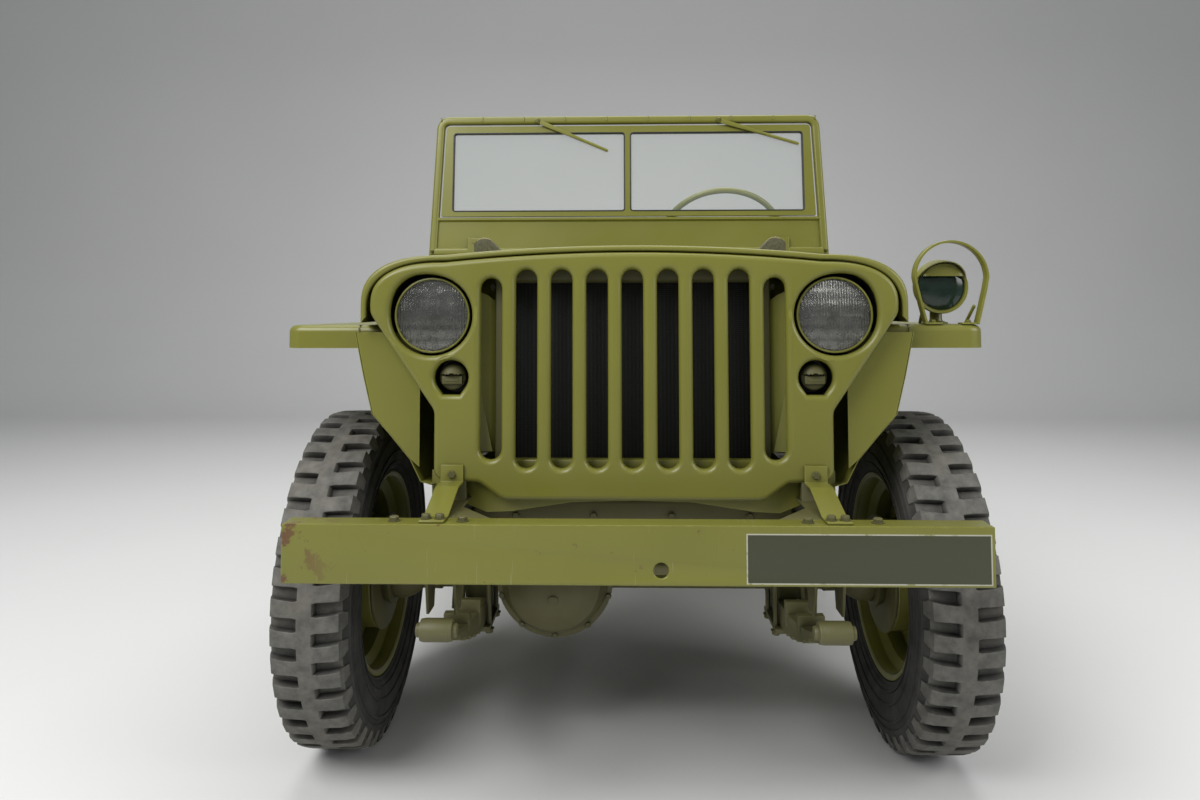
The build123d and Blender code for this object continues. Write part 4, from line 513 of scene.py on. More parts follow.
def rubber_material(name, tread):
    """Tyre rubber: greyed by wear on the tread, near black on the walls, patches of dust, and painted shade
    in the hollows.
    """
    s = Shader(name)
    base = s.mix(s.between(s.noise(18, 6), 0.35, 0.7), RUBBER, tuple(c * 1.9 for c in RUBBER))
    if tread:
        worn = s.between(s.noise(45, 5), 0.3, 0.7, 0.25, 0.85)
        base = s.mix(worn, base, (0.165, 0.160, 0.142))
    base = s.mix(s.between(s.noise(6, 5), 0.45, 0.8, 0, 0.22 if tread else 0.08), base, DUST)
    # Painted shade: near-black rubber in the grooves and hollows, where shade falls
    base = s.mix(s.between(s.occlusion(0.035), 0.30, 0.85), tuple(c * 0.30 for c in RUBBER), base)
    fine = s.maths("ADD", s.noise(260, 4), s.times(s.noise(30, 4), 1.5))
    s.set(Base_Color=base, Roughness=s.between(s.noise(25, 3), 0.3, 0.7, 0.62, 0.85),
          Specular_IOR_Level=0.3, Normal=s.bump(fine, 0.25, 0.0015))
    return s.material


def metal_material(name, colour, rough=0.4):
    """Bare or worn metal with fine smears."""
    s = Shader(name)
    base = s.mix(s.between(s.noise(30, 5), 0.35, 0.7), colour, tuple(c * 0.6 for c in colour))
    s.set(Base_Color=base, Metallic=0.9, Roughness=s.between(s.noise(60, 4), 0.3, 0.7, rough - 0.1,
                                                             rough + 0.15),
          Normal=s.bump(s.noise(240, 3), 0.1, 0.001))
    return s.material


def glass_material(name, colour, rough=0.02, alpha=0.22):
    """Thin pane or lens glass with faint smears."""
    s = Shader(name)
    s.set(Base_Color=colour, Roughness=s.between(s.noise(12, 5), 0.4, 0.8, rough, rough + 0.08),
          IOR=1.5, Specular_IOR_Level=0.6, Alpha=alpha)
    return s.material


def canvas_material(name, colour):
    """Plain cotton duck: crossed threads, slubs and a sun-bleached drift."""
    s = Shader(name)
    warp = s.wave(520, "X")
    weft = s.wave(520, "Y")
    up = s.wave(520, "Z")
    weave = s.maths("ADD", s.times(warp, weft), up)
    base = s.mix(s.between(s.noise(5, 4), 0.3, 0.7), tuple(c * 0.78 for c in colour),
                 tuple(c * 1.2 for c in colour))
    base = s.mix(s.between(weave, 0.2, 1.4, 0, 0.35), base, tuple(c * 0.5 for c in colour))
    s.set(Base_Color=base, Roughness=0.92, Specular_IOR_Level=0.15, Sheen_Weight=0.3,
          Normal=s.bump(weave, 0.35, 0.0008, s.bump(s.noise(60, 3), 0.15, 0.002)))
    return s.material


def wood_material(name, colour):
    """Straight-grained softwood, weathered."""
    s = Shader(name)
    grain = s.noise(9, 6, 0.65, stretch=(14, 1.2, 14), distortion=0.4)
    base = s.mix(s.between(grain, 0.35, 0.65), tuple(c * 0.6 for c in colour),
                 tuple(c * 1.25 for c in colour))
    s.set(Base_Color=base, Roughness=0.75, Normal=s.bump(grain, 0.3, 0.001))
    return s.material


def core_material():
    """Radiator core: near-black fins with fine rows."""
    s = Shader("radiator_core")
    rows = s.wave(75, "Z")
    columns = s.wave(40, "X")
    fine = s.times(rows, columns)
    s.set(Base_Color=s.mix(s.between(fine, 0.2, 0.9), (0.0035, 0.0035, 0.003), (0.016, 0.016, 0.012)),
          Roughness=0.6, Specular_IOR_Level=0.25, Normal=s.bump(fine, 0.4, 0.002))
    return s.material


def plain_material(name, colour, rough=0.35):
    """Dark moulded or enamelled pieces, with faint mottling."""
    s = Shader(name)
    base = s.mix(s.between(s.noise(40, 4), 0.35, 0.7), colour, tuple(c * 1.6 + 0.004 for c in colour))
    s.set(Base_Color=base, Roughness=s.between(s.noise(30, 3), 0.3, 0.7, rough - 0.05, rough + 0.15),
          Normal=s.bump(s.noise(300, 2), 0.08, 0.0008))
    return s.material


def lens_material():
    """Clear lamp glass with upright flutes and a bull's-eye."""
    s = Shader("fluted_lens")
    flutes = s.wave(55, "X")
    s.set(Base_Color=(0.030, 0.033, 0.030), Roughness=0.03, IOR=1.5, Specular_IOR_Level=0.6, Alpha=0.16,
          Normal=s.bump(flutes, 0.9, 0.004, s.bump(s.noise(55, 3), 0.45, 0.003)))
    return s.material


PAINT = paint_material("olive_paint", OLIVE)
PAINT_BUMPER = paint_material("olive_paint_bumper", OLIVE, dust=0.03, bumper=True)
CHASSIS = paint_material("chassis_paint", OLIVE_DARK, rough=0.55, dust=0.16)
TREAD = rubber_material("tread_rubber", True)
WALL = rubber_material("wall_rubber", False)
BLACK = plain_material("black_enamel", (0.012, 0.012, 0.012))
PANE = glass_material("pane_glass", (0.62, 0.72, 0.68), alpha=0.07)
CLOTH = canvas_material("seat_canvas", CANVAS)
WOOD = wood_material("block_wood", (0.078, 0.074, 0.034))
CORE = core_material()
CORD = plain_material("waxed_cord", (0.19, 0.165, 0.075), 0.8)
DARK_GLASS = plain_material("blackout_glass", (0.006, 0.016, 0.010), 0.08)

SILVER = metal_material("silvered_bowl", (0.34, 0.335, 0.31), 0.22)
FLUTED = lens_material()
IVORY = plain_material("dial_ivory", (0.55, 0.53, 0.40), 0.5)
RED_GLASS = plain_material("tail_glass", (0.10, 0.006, 0.005), 0.15)

MATERIAL_OF_SLOT = {
    "olive_paint": PAINT, "chassis_paint": CHASSIS, "tyre_rubber": TREAD, "glass": PANE, "canvas": CLOTH,
    "wood": WOOD, "black_parts": BLACK, "wiper_metal": BLACK,
}
# The slot of a piece in each material, where its call names no other
SLOT_OF_MATERIAL = {
    PAINT: "olive_paint", CHASSIS: "chassis_paint", TREAD: "tyre_rubber", WALL: "tyre_rubber", PANE: "glass",
    DARK_GLASS: "glass", FLUTED: "glass", SILVER: "glass", RED_GLASS: "glass", CLOTH: "canvas", WOOD: "wood",
    CORD: "wood", BLACK: "black_parts", IVORY: "black_parts", CORE: "chassis_paint",
}
SLOT_OF_NODE = {part["node"]: part["material_slot"] for part in frame["record"]["subparts"]}


def finish_nodes():
    """Every CAD node takes the material of its slot."""
    for name, node in frame["nodes"].items():
        node.data.materials.clear()
        node.data.materials.append(MATERIAL_OF_SLOT[SLOT_OF_NODE[name]])
        smooth(node.data, 30)


finish_nodes()

# Pieces that keep their CAD shape with rounded edges: node and width in mm
SOFTENED = (
    ("front_bumper", 4.0), ("bumper_straps", 1.5), ("cowl", 1.2), ("body_sides", 1.2), ("tail_panel", 1.2),
    ("dash_panel", 1.0), ("floor_pan", 1.0), ("wheel_houses", 1.0), ("frame", 1.5), ("rear_bumperettes", 2.0),
    ("leaf_springs", 0.8), ("front_axle", 3.0), ("rear_axle", 3.0), ("hood_latches", 1.5), ("pedals", 1.5),
    ("power_unit", 3.0), ("pintle_hook", 3.0), ("toolbox_lid_left", 1.5), ("toolbox_lid_right", 1.5),
    ("glovebox_lid", 1.5), ("fuel_tank", 8.0), ("knuckle_left", 2.0), ("knuckle_right", 2.0),
    ("grab_handles", 1.0),
)
for node, width in SOFTENED:
    softened(node, PAINT_BUMPER if node == "front_bumper" else MATERIAL_OF_SLOT[SLOT_OF_NODE[node]], width)

SIDES = (("left", 1), ("right", -1))


# Tyres: cross-bars staggered on the two halves of the tread, wrapped onto the shoulder
LUGS = 40
LUG_H = 0.0165
BEAD_R = 0.2065
WALL_TOP_R, WALL_IN_X = 0.3425, 0.05


def tyre_profile():
    """(radius, x) points of one tyre's carcass, from bead to bead."""
    base = TYRE_R - LUG_H
    half = [
        (BEAD_R + 0.001, 0.0585), (0.2215, 0.0590), (0.2240, 0.0640), (0.2290, 0.0655), (0.2320, 0.0690),
        (0.2400, 0.0714), (0.2408, 0.0744), (0.2444, 0.0748), (0.2452, 0.0724), (0.2520, 0.0748),
        (0.2640, 0.0764),
        (0.2648, 0.0792), (0.2692, 0.0796), (0.2700, 0.0770), (0.2860, 0.0776), (0.2985, 0.0768),
        (0.2993, 0.0794),
        (0.3035, 0.0792), (0.3043, 0.0764), (0.3130, 0.0745),
        (0.3160, 0.0775), (0.3200, 0.0770), (0.3230, 0.0745), (0.3330, 0.0715), (0.3420, 0.0680),
        (base, 0.0600), (base, 0.0250), (base + 0.0020, 0.0190), (TYRE_R - 0.0030, 0.0155),
        (TYRE_R - 0.0008, 0.0135), (TYRE_R - 0.0004, 0.0),
    ]
    return half + [(r, -x) for r, x in reversed(half[:-1])]


def tyre_mesh(name):
    def build(bm):
        lathe(bm, tyre_profile(), (0, 0, 0), ACROSS, 120)
        for side in (1, -1):
            for turn in turns(LUGS, 0.5 if side < 0 else 0):
                add_lug(bm, side, turn)
    return mesh_of(name, build)


def add_lug(bm, side, turn):
    """A bar from the tread's middle to its shoulder, with the shoulder's root running down the wall."""
    base = TYRE_R - LUG_H - 0.002
    rows = []
    # x, radius of the top, half width along the tread, how far the bar is slanted
    sections = (
        (0.010, TYRE_R - 0.0006, 0.0180, 0.0),
        (0.022, TYRE_R - 0.0006, 0.0150, 0.0005),
        (0.050, TYRE_R - 0.0010, 0.0160, 0.003),
        (0.0655, TYRE_R - 0.0040, 0.0168, 0.005),
        (0.0705, TYRE_R - 0.0170, 0.0160, 0.006),
        (0.0748, TYRE_R - 0.0330, 0.0120, 0.006),
    )
    for x, top, half, slant in sections:
        low = min(base, top - 0.004)
        row = []
        for along, radius in ((-half - 0.002, low), (-half, top - 0.001), (-half + 0.0015, top),
                              (half - 0.0015, top), (half, top - 0.001), (half + 0.002, low)):
            angle = turn + (along + slant) / TYRE_R
            row.append((side * x, radius * sin(angle), radius * cos(angle)))
        rows.append(row)
    skin(bm, rows, ends=True)


TYRE_MESH = tyre_mesh("tyre_mesh")
smooth(TYRE_MESH, 32)


@mesh_builder("tyre_part")
def tyre_part(bm, wall):
    """The sidewalls of the tyre, or all of the rest."""
    bm.from_mesh(TYRE_MESH)
    gone = [f for f in bm.faces if wall != all(hypot(v.co.y, v.co.z) < WALL_TOP_R and abs(v.co.x) > WALL_IN_X
                                               for v in f.verts)]
    bmesh.ops.delete(bm, geom=gone, context="FACES")


TYRE_PARTS = (("tread", tyre_part(False), TREAD), ("wall", tyre_part(True), WALL))


def place_tyre(node, body, matrix):
    for part, source, finish in TYRE_PARTS:
        mesh = source.copy()
        mesh.transform(matrix)
        add_shaded(f"{node}_{part}", mesh, finish, body, [node] if part == "tread" else [], angle=32)


for end in ("front_left", "front_right", "rear_left", "rear_right"):
    hub = joint_place("roll_" + end)
    place_tyre("tyre_" + end, "wheel_" + end, Matrix.Translation(hub))
low, high = (Vector(corner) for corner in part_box("spare_tyre"))
SPARE_AT = (low + high) / 2
SPARE_PLACE = Matrix.Translation(SPARE_AT) @ Matrix.Rotation(pi / 2, 4, "Z")
place_tyre("spare_tyre", "chassis", SPARE_PLACE)


# Grille: one stamped sheet with rolled slots, lamp openings and a dropped middle

PLATE = 0.0022
GRILLE_Y = AXLE_F - 0.300
GRILLE_HALF = 0.518
GRILLE_TOP = 1.064
GRILLE_WAIST = 0.388
GRILLE_LOW = 0.584
SLOTS = 9
SLOT_PITCH = 0.0697
SLOT_R = 0.0235
SLOT_TOP, SLOT_LOW = 1.035, 0.640
LAMP_X, LAMP_Z = 0.398, 0.942
MARKER_X, MARKER_Z, MARKER_R = 0.357, 0.820, 0.036


def corner_line(half, top, wide, tall, crown):
    """(x, z) points from the end of a side up round a soft corner and over the crown to the middle."""
    points = []
    for k in range(17):
        a = pi / 2 * k / 16
        points.append(Vector((half - wide * (1 - cos(a) ** 0.80), top - crown - tall * (1 - sin(a) ** 0.80))))
    for k in range(1, 9):
        x = (half - wide) * (1 - k / 8)
        points.append(Vector((x, top - crown * (x / (half - wide)) ** 2)))
    return points


def grille_outline():
    """Anticlockwise seen from the front of the car, the right half first."""
    right = [
        (0.255, GRILLE_LOW, 0.030), (0.300, GRILLE_LOW + 0.034, 0.030),
        (GRILLE_WAIST, GRILLE_LOW + 0.038, 0.022),
        (GRILLE_WAIST, 0.755, 0.030), (GRILLE_HALF - 0.001, 0.946, 0.030),
    ] + [(p.x, p.y, 0) for p in corner_line(GRILLE_HALF, GRILLE_TOP, 0.145, 0.082, 0.019)]
    return rounded_outline(right + [(-x, z, r) for x, z, r in reversed(right[:-1])])


def marker_outline(x):
    """Round opening with a flat foot."""
    arc = [Vector((x + MARKER_R * cos(a), MARKER_Z + MARKER_R * sin(a)))
           for a in (radians(d) for d in range(-40, 221, 13))]
    return [Vector((x + dx, MARKER_Z - MARKER_R)) for dx in (-0.018, 0.018)] + arc


def lamp_outline(x):
    """Headlamp opening, drawn out a little towards the top outer corner."""
    points = []
    for a in turns(48):
        corner = max(0.0, cos(a - (radians(50) if x > 0 else radians(130)))) ** 6
        r = 0.0820 + 0.008 * corner
        points.append(Vector((x + (r + 0.002) * cos(a), LAMP_Z + r * sin(a))))
    return points


def grille_mesh():
    holes = []
    for i in range(SLOTS):
        cut = 0.017 if i in (0, SLOTS - 1) else 0.0
        holes.append(slot_outline((i - (SLOTS - 1) / 2) * SLOT_PITCH, SLOT_LOW + cut, SLOT_TOP - cut, SLOT_R))
    for side in (1, -1):
        holes.append(lamp_outline(side * LAMP_X))
        holes.append(marker_outline(side * MARKER_X))
    return mesh_of("grille_sheet", lambda bm: pressed_plate(bm, grille_outline(), holes, GRILLE_Y, 0.0085,
                                                            0.0235, 0.0135))


add_shaded("grille_sheet", grille_mesh(), PAINT, replaces=["grille"], angle=40, modifiers=[sheet(PLATE, 1.0)],
           even=True)


# Headlamps: olive rim, fluted lens over a silvered bowl, in a black bucket that is painted shade round the
# lamp

LENS_Y = GRILLE_Y + 0.017


# (radius, along) sections of a headlamp's pieces, with their materials
HEADLAMP = {
    "lens": (FLUTED, mm_pairs(0.1, 13.5, 22, 13, 43, 11, 60, 7.2, 69, 3, 71.2, 0, 68, -0.6, 58, 3.5,
                              43, 7.8, 0.1, 10.2)),
    "bowl": (SILVER, mm_pairs(70.5, -1, 65, -16, 52, -32, 32, -45, 12, -50, 0.1, -51)),
    "rim": (PAINT, mm_pairs(70.5, -4, 70.8, 2, 72.2, 3.6, 74.5, 3, 75.5, 0, 75.5, -12, 73.5, -14)),
    "bulb": (SILVER, mm_pairs(0.1, 4, 7, 3.5, 8.5, -1, 15, -2, 19.5, -6, 19.5, -10, 15, -16, 10, -36,
                              12, -49)),
    # The bucket is black as painted shade in the gap between the rim and the grille's opening
    "shade_bucket": (BLACK, mm_pairs(88.5, -2, 90, -5, 88, -50, 60, -66, 0.1, -70)),
}
HEADLAMP_NODES = {"lens": ["lamp_lenses"], "shade_bucket": ["lamp_bowls"]}


@mesh_builder("headlamp_flutes")
def flute_mesh(bm, x):
    """Upright prisms moulded behind the lens."""
    columns, rows, reach = 112, 18, 0.0735
    grid = []
    for j in range(rows + 1):
        z = reach * (2 * j / rows - 1)
        row = []
        for i in range(columns + 1):
            across = reach * (2 * i / columns - 1)
            round_off = 0.013 * (1 - (across * across + z * z) / reach ** 2)
            ridge = 0.0011 * (i % 4 in (1, 2)) + 0.0007 * sin(j * 2.1)
            row.append(bm.verts.new((x + across, LENS_Y + 0.0035 - 0.55 * round_off + ridge, LAMP_Z + z)))
        grid.append(row)
    for a, b in zip(grid, grid[1:]):
        for k in range(columns):
            middle = (a[k].co + b[k + 1].co) / 2
            if hypot(middle.x - x, middle.z - LAMP_Z) < 0.0725:
                bm.faces.new((a[k], a[k + 1], b[k + 1], b[k]))
    bmesh.ops.delete(bm, geom=[v for v in bm.verts if not v.link_faces], context="VERTS")


for side_name, side in SIDES:
    add_shaded("headlamp_flutes_" + side_name, flute_mesh(side * LAMP_X), SILVER, angle=60)
    at = (side * LAMP_X, LENS_Y, LAMP_Z)
    for part, (finish, section) in HEADLAMP.items():
        mesh = mesh_of("headlamp_" + part, lambda bm: lathe(bm, section, at, FORWARD, 56))
        stands_for = HEADLAMP_NODES.get(part, []) if side > 0 else []
        add_shaded(f"headlamp_{part}_{side_name}", mesh, finish, replaces=stands_for, angle=50)


# Blackout marker lamps in the grille: barrel, hood and slotted face, each in a black cup of painted shade

@mesh_builder("marker_lamp")
def marker_mesh(bm, x):
    """Round lamp with an eyelid over its slotted face."""
    at = (x, GRILLE_Y + 0.030, MARKER_Z)
    barrel = mm_pairs(0.1, 12, 22, 11.5, 25.8, 8.5, 26.8, 3, 26.8, -28)
    lathe(bm, barrel, at, FORWARD, 40)
    rounded_box(bm, (x, GRILLE_Y + 0.0155, MARKER_Z - 0.0055), (0.041, 0.008, 0.017), radius=0.0025)
    rounded_box(bm, (x, GRILLE_Y + 0.0112, MARKER_Z - 0.0060), (0.026, 0.0016, 0.0050), radius=0.0007)
    lid = bmesh.new()
    dome = [(0.0278 * cos(a), 0.0265 * sin(a)) for a in (radians(d) for d in range(0, 90, 9))]
    lathe(lid, dome + [(0.0001, 0.0265)], at, FORWARD, 48)
    cut = bmesh.ops.bisect_plane(lid, geom=lid.verts[:] + lid.edges[:] + lid.faces[:],
                                 plane_co=(0, 0, MARKER_Z + 0.0045), plane_no=DOWNWARD, clear_outer=True)
    rim = [e for e in cut["geom_cut"] if isinstance(e, bmesh.types.BMEdge)]
    bmesh.ops.extrude_edge_only(lid, edges=rim)
    moved = {v for e in rim for v in e.verts}
    for vert in moved:
        vert.co += Vector((0, 0.006, 0))
    patch = bpy.data.meshes.new("lid")
    lid.to_mesh(patch)
    lid.free()
    bm.from_mesh(patch)


# Black cup behind each marker opening: painted shade in the gap round the lamp
def marker_shade_cup_mesh(x):
    at = (x, GRILLE_Y + 0.0140, MARKER_Z)
    cup = mm_pairs(37.5, 0, 39, -2, 39, -34, 33, -42, 0.1, -43)
    return mesh_of("marker_shade_cup", lambda bm: lathe(bm, cup, at, FORWARD, 36))


for side_name, side in SIDES:
    add_shaded("marker_lamp_" + side_name, marker_mesh(side * MARKER_X), CHASSIS, angle=40)
    add_shaded("marker_shade_cup_" + side_name, marker_shade_cup_mesh(side * MARKER_X), BLACK, angle=40)


# Hood: smoothly rounded section, wider and higher towards the cowl, with a rolled front edge

HOOD_FRONT = GRILLE_Y + 0.006
HOOD_REAR = AXLE_F + 0.665
HOOD_STATIONS = 16
HEM = 0.0058


def hood_section(y, inset=0.0):
    """(x, z) points over the top from the right side's lower edge to the left's."""
    share = (y - HOOD_FRONT) / (HOOD_REAR - HOOD_FRONT)
    half = 0.540 + 0.080 * share - inset
    top = 1.080 + 0.015 * share - inset
    low = 0.928 + inset
    left = [Vector((half, low))] + corner_line(half, top, 0.165, 0.098, 0.018)
    return left + [Vector((-p.x, p.y)) for p in reversed(left[:-1])]


@mesh_builder("hood_skin")
def hood_mesh(bm):
    rows = []
    for k in range(8):
        a = pi * (1 - k / 8)
        y = HOOD_FRONT + HEM * (1 - sin(a))
        rows.append([(p.x, y, p.y) for p in hood_section(HOOD_FRONT, HEM * (1 - cos(a)))])
    for i in range(HOOD_STATIONS + 1):
        y = HOOD_FRONT + HEM + (HOOD_REAR - HOOD_FRONT - HEM) * i / HOOD_STATIONS
        rows.append([(p.x, y, p.y) for p in hood_section(y)])
    skin(bm, rows)


add_shaded("hood_skin", hood_mesh(), PAINT, "hood", ["hood"], angle=40, modifiers=[sheet(PLATE)], even=True)


# Windscreen: outer tube with studs, sash with a gap round it, seals, lower panel and wipers

SCREEN_LEAN = radians(4)
HINGE = joint_place("windscreen_fold")
SCREEN_H = 0.4791
SCREEN_LOW_HALF, SCREEN_TOP_HALF = 0.652, 0.632
TUBE_W, TUBE_DEEP = 0.026, 0.013
PANEL_TOP = 0.136
PANE_EDGE = (0.0085, 0.578)
PANE_LOW, PANE_TOP = 0.158, 0.424
STUD_PITCH = 0.1375


def on_screen(x, up, out=0.0):
    """A point given across, up and out from the windscreen's leaning plane."""
    return HINGE + Vector((x, up * sin(SCREEN_LEAN) - out * cos(SCREEN_LEAN),
                           up * cos(SCREEN_LEAN) + out * sin(SCREEN_LEAN)))


def moulding(bm, loop, section, place):
    """Sweeps a closed section of (inset, out) points round an anticlockwise loop."""
    rows = []
    for inset, out in section:
        rows.append([place(p.x, p.y, out) for p in inset_loop(loop, inset)])
    skin(bm, rows, wrap=True, loop=True)


def round_section(width, deep, radius, steps=4):
    """Rounded rectangle as (inset, out) points, width inwards and deep to both sides."""
    corners = [(0, -deep, radius), (width, -deep, radius), (width, deep, radius), (0, deep, radius)]
    return [(p.x, p.y) for p in rounded_outline(corners, steps)]


def screen_half(up):
    return SCREEN_LOW_HALF + (SCREEN_TOP_HALF - SCREEN_LOW_HALF) * up / SCREEN_H


def screen_outline(low, top, inset, radius):
    """Anticlockwise outline between two heights, inset at the sides."""
    corners = [(screen_half(low) - inset, low, 0.004), (screen_half(top) - inset, top, radius)]
    return rounded_outline([(-x, z, r) for x, z, r in corners[:1]] + corners
                           + [(-x, z, r) for x, z, r in corners[1:]], 7)


@mesh_builder("windscreen_tube")
def screen_frame_mesh(bm):
    outer = screen_outline(0.012, SCREEN_H, 0, 0.042)
    moulding(bm, outer, round_section(TUBE_W, TUBE_DEEP, 0.0085), on_screen)
    # Panel below the sash with a rolled bead along its top
    half, low, top, out = screen_half(PANEL_TOP) - 0.012, 0.030, PANEL_TOP, 0.004
    rows = []
    for up, deep in ((low, out), (top - 0.012, out), (top - 0.006, out + 0.008), (top, out + 0.008),
                     (top + 0.002, out + 0.004), (top + 0.002, -0.006), (low, -0.002)):
        rows.append([on_screen(x, up, deep) for x in (-half, -half / 2, 0, half / 2, half)])
    skin(bm, rows, loop=True)
    for side in (1, -1):
        rounded_box(bm, HINGE + Vector((side * 0.500, 0, 0.006)), (0.028, 0.022, 0.034), radius=0.004)
        rounded_box(bm, on_screen(side * 0.500, 0.040, 0.0125), (0.046, 0.006, 0.060), SCREEN_TURN, 0.0025)
        for up in (0.024, 0.056):
            hex_bolt(bm, on_screen(side * 0.500, up, 0.0155), SCREEN_OUT, 0.011, 0.005)
    # Rail along the top that takes the hood canvas
    count = 9
    for k in range(count + 1):
        x = (k - count / 2) * STUD_PITCH
        rounded_box(bm, on_screen(x, SCREEN_H - 0.0105, TUBE_DEEP), (0.0045, 0.006, 0.015), SCREEN_TURN,
                    0.0015)


SCREEN_TURN = Matrix.Rotation(-SCREEN_LEAN, 3, "X")
SCREEN_OUT = SCREEN_TURN @ Vector(FORWARD)


def pane_outline(side, grow=0.0):
    low, high = PANE_EDGE
    corners = [(low - grow, PANE_LOW - grow), (high + grow, PANE_LOW - grow), (high + grow, PANE_TOP + grow),
               (low - grow, PANE_TOP + grow)]
    points = [(side * x, z, 0.010 + grow) for x, z in corners]
    return rounded_outline(points if side > 0 else list(reversed(points)), 4)


@mesh_builder("screen_sash")
def sash_mesh(bm):
    outline = screen_outline(PANEL_TOP + 0.006, SCREEN_H - TUBE_W - 0.007, TUBE_W + 0.006, 0.010)
    fill_loops(bm, outline, [pane_outline(1), pane_outline(-1)], lambda x, z: on_screen(x, z, 0.007))


@mesh_builder("pane_seals")
def seal_mesh(bm):
    for side in (1, -1):
        moulding(bm, pane_outline(side, 0.0005), round_section(0.0045, 0.0085, 0.0015, 2), on_screen)


@mesh_builder("wiper")
def wiper_mesh(bm, x, reach, drop, blade):
    """One wiper: pivot boss, tapering arm, and a blade on a clip at the arm's end."""
    pivot = SCREEN_H - 0.019
    along = Vector((reach, -drop)).normalized()
    turn = SCREEN_TURN @ Matrix.Rotation(atan2(drop, reach), 3, "Y")
    lathe(bm, mm_pairs(0.1, 20, 7, 19.2, 9.5, 16, 9.5, 0), on_screen(x, pivot, 0.0), SCREEN_OUT, 20)

    def place(t, across, out):
        return on_screen(x + along.x * t - along.y * across, pivot + along.y * t + along.x * across, out)
    if blade:
        start, end = 0.045, hypot(reach, drop)
        rows = []
        for t, half, out in ((start, 0.0035, 0.0140), (start + 0.010, 0.0055, 0.0145),
                             (end - 0.004, 0.0045, 0.0125),
                             (end, 0.002, 0.0120)):
            rows.append([place(t, a, o) for a, o in
                         ((-half, out - 0.007), (-half, out - 0.001), (0, out + 0.001), (half, out - 0.001),
                          (half, out - 0.007))])
    else:
        rows = []
        for t, half, out in ((-0.006, 0.0045, 0.0160), (0.012, 0.0075, 0.0165), (0.060, 0.0068, 0.0160),
                             (0.150, 0.0042, 0.0152),
                             (0.158, 0.0020, 0.0148)):
            rows.append([place(t, a, o) for a, o in
                         ((-half, out - 0.004), (-half, out), (0, out + 0.0015), (half, out),
                          (half, out - 0.004))])
    skin(bm, rows, wrap=True, ends=True)


add_shaded("windscreen_tube", screen_frame_mesh(), PAINT, "windscreen", ["windscreen_frame"], angle=40,
           even=True)
add_shaded("windscreen_sash_frame", sash_mesh(), PAINT, "windscreen", ["windscreen_sash"], angle=40,
           modifiers=[sheet(0.014), bevel(0.0022, 3, 40)], even=True)
add_shaded("pane_seals", seal_mesh(), BLACK, "windscreen", slot="wiper_metal", angle=50)
for number, (x, reach, drop) in enumerate(((-0.296, 0.232, 0.100), (0.302, 0.262, 0.080))):
    for part, blade in (("arm", False), ("blade", True)):
        stands_for = ["wipers"] if number == 0 and not blade else []
        add_shaded(f"wiper_{part}_{number}", wiper_mesh(x, reach, drop, blade), PAINT, "windscreen",
                   stands_for)


# Blocks on the hood that the folded windscreen rests on, with cord lashed over their tops

BLOCK_X = 0.378
block_low, block_high = (Vector(corner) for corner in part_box("hood_blocks"))
BLOCK_Y = (block_low.y + block_high.y) / 2


@mesh_builder("hood_block")
def block_mesh(bm, side):
    section = mm_pairs(42, -16.2, 42, 43, 40, 47, 30, 55, 4, 57.5, -2, 55, -49, 4, -49, -9.6)
    skin(bm, [[(side * (BLOCK_X + x), BLOCK_Y + y, block_low.z + z) for x, z in section]
              for y in (-0.030, 0.030)], wrap=True, ends=True)


@mesh_builder("block_lashing")
def lashing_mesh(bm, side):
    """Cord wound twice over the block's top, with a knot."""
    for k, shift in enumerate((-0.010, 0.0, 0.011)):
        path = []
        for i in range(25):
            a = 2 * pi * i / 24
            lift = 0.0013 if k == 1 else 0.0
            path.append(Vector((side * (BLOCK_X + 0.019 + 0.0245 * cos(a) + shift * 0.3),
                                BLOCK_Y + shift + 0.006 * sin(2 * a),
                                block_low.z + 0.043 + (0.0165 + lift) * sin(a))))
        tube(bm, path[:-1], 0.0019, 7, closed=True)
    for x, z in ((0.019, 0.0598), (0.026, 0.0585), (0.012, 0.0582)):
        lathe(bm, mm_pairs(0.1, -3.6, 3, -2.6, 4.2, 0, 3, 2.6, 0.1, 3.6),
              (side * (BLOCK_X + x), BLOCK_Y - 0.006, block_low.z + z), (0.4, 0.3, 1), 12, closed=True)


for side_name, side in SIDES:
    add_shaded("hood_block_" + side_name, block_mesh(side), WOOD, "hood", ["hood_blocks"] if side > 0 else [],
               angle=40,
               modifiers=[bevel(0.0015, 2, 30)])
    add_shaded("block_lashing_" + side_name, lashing_mesh(side), CORD, "hood", angle=60)


# Behind and under the grille: radiator with its tanks, baffles, skirt and cross member

RADIATOR_Y = GRILLE_Y + 0.095
CORE_Z = 0.835


@mesh_builder("core")
def core_mesh(bm):
    rounded_box(bm, (0, RADIATOR_Y, CORE_Z), (0.500, 0.055, 0.370), radius=0.004)


@mesh_builder("radiator_shroud")
def shroud_mesh(bm):
    rounded_box(bm, (0, RADIATOR_Y, 1.028), (0.540, 0.090, 0.040), radius=0.012, segments=3)
    rounded_box(bm, (0, RADIATOR_Y, 0.638), (0.540, 0.090, 0.030), radius=0.010, segments=3)
    for side in (1, -1):
        rounded_box(bm, (side * 0.263, GRILLE_Y + 0.080, CORE_Z), (0.024, 0.080, 0.390), radius=0.003)
        for z in (0.70, 0.80, 0.90, 1.0):
            hex_bolt(bm, (side * 0.285, GRILLE_Y + 0.0725, z), FORWARD, 0.010, 0.004)


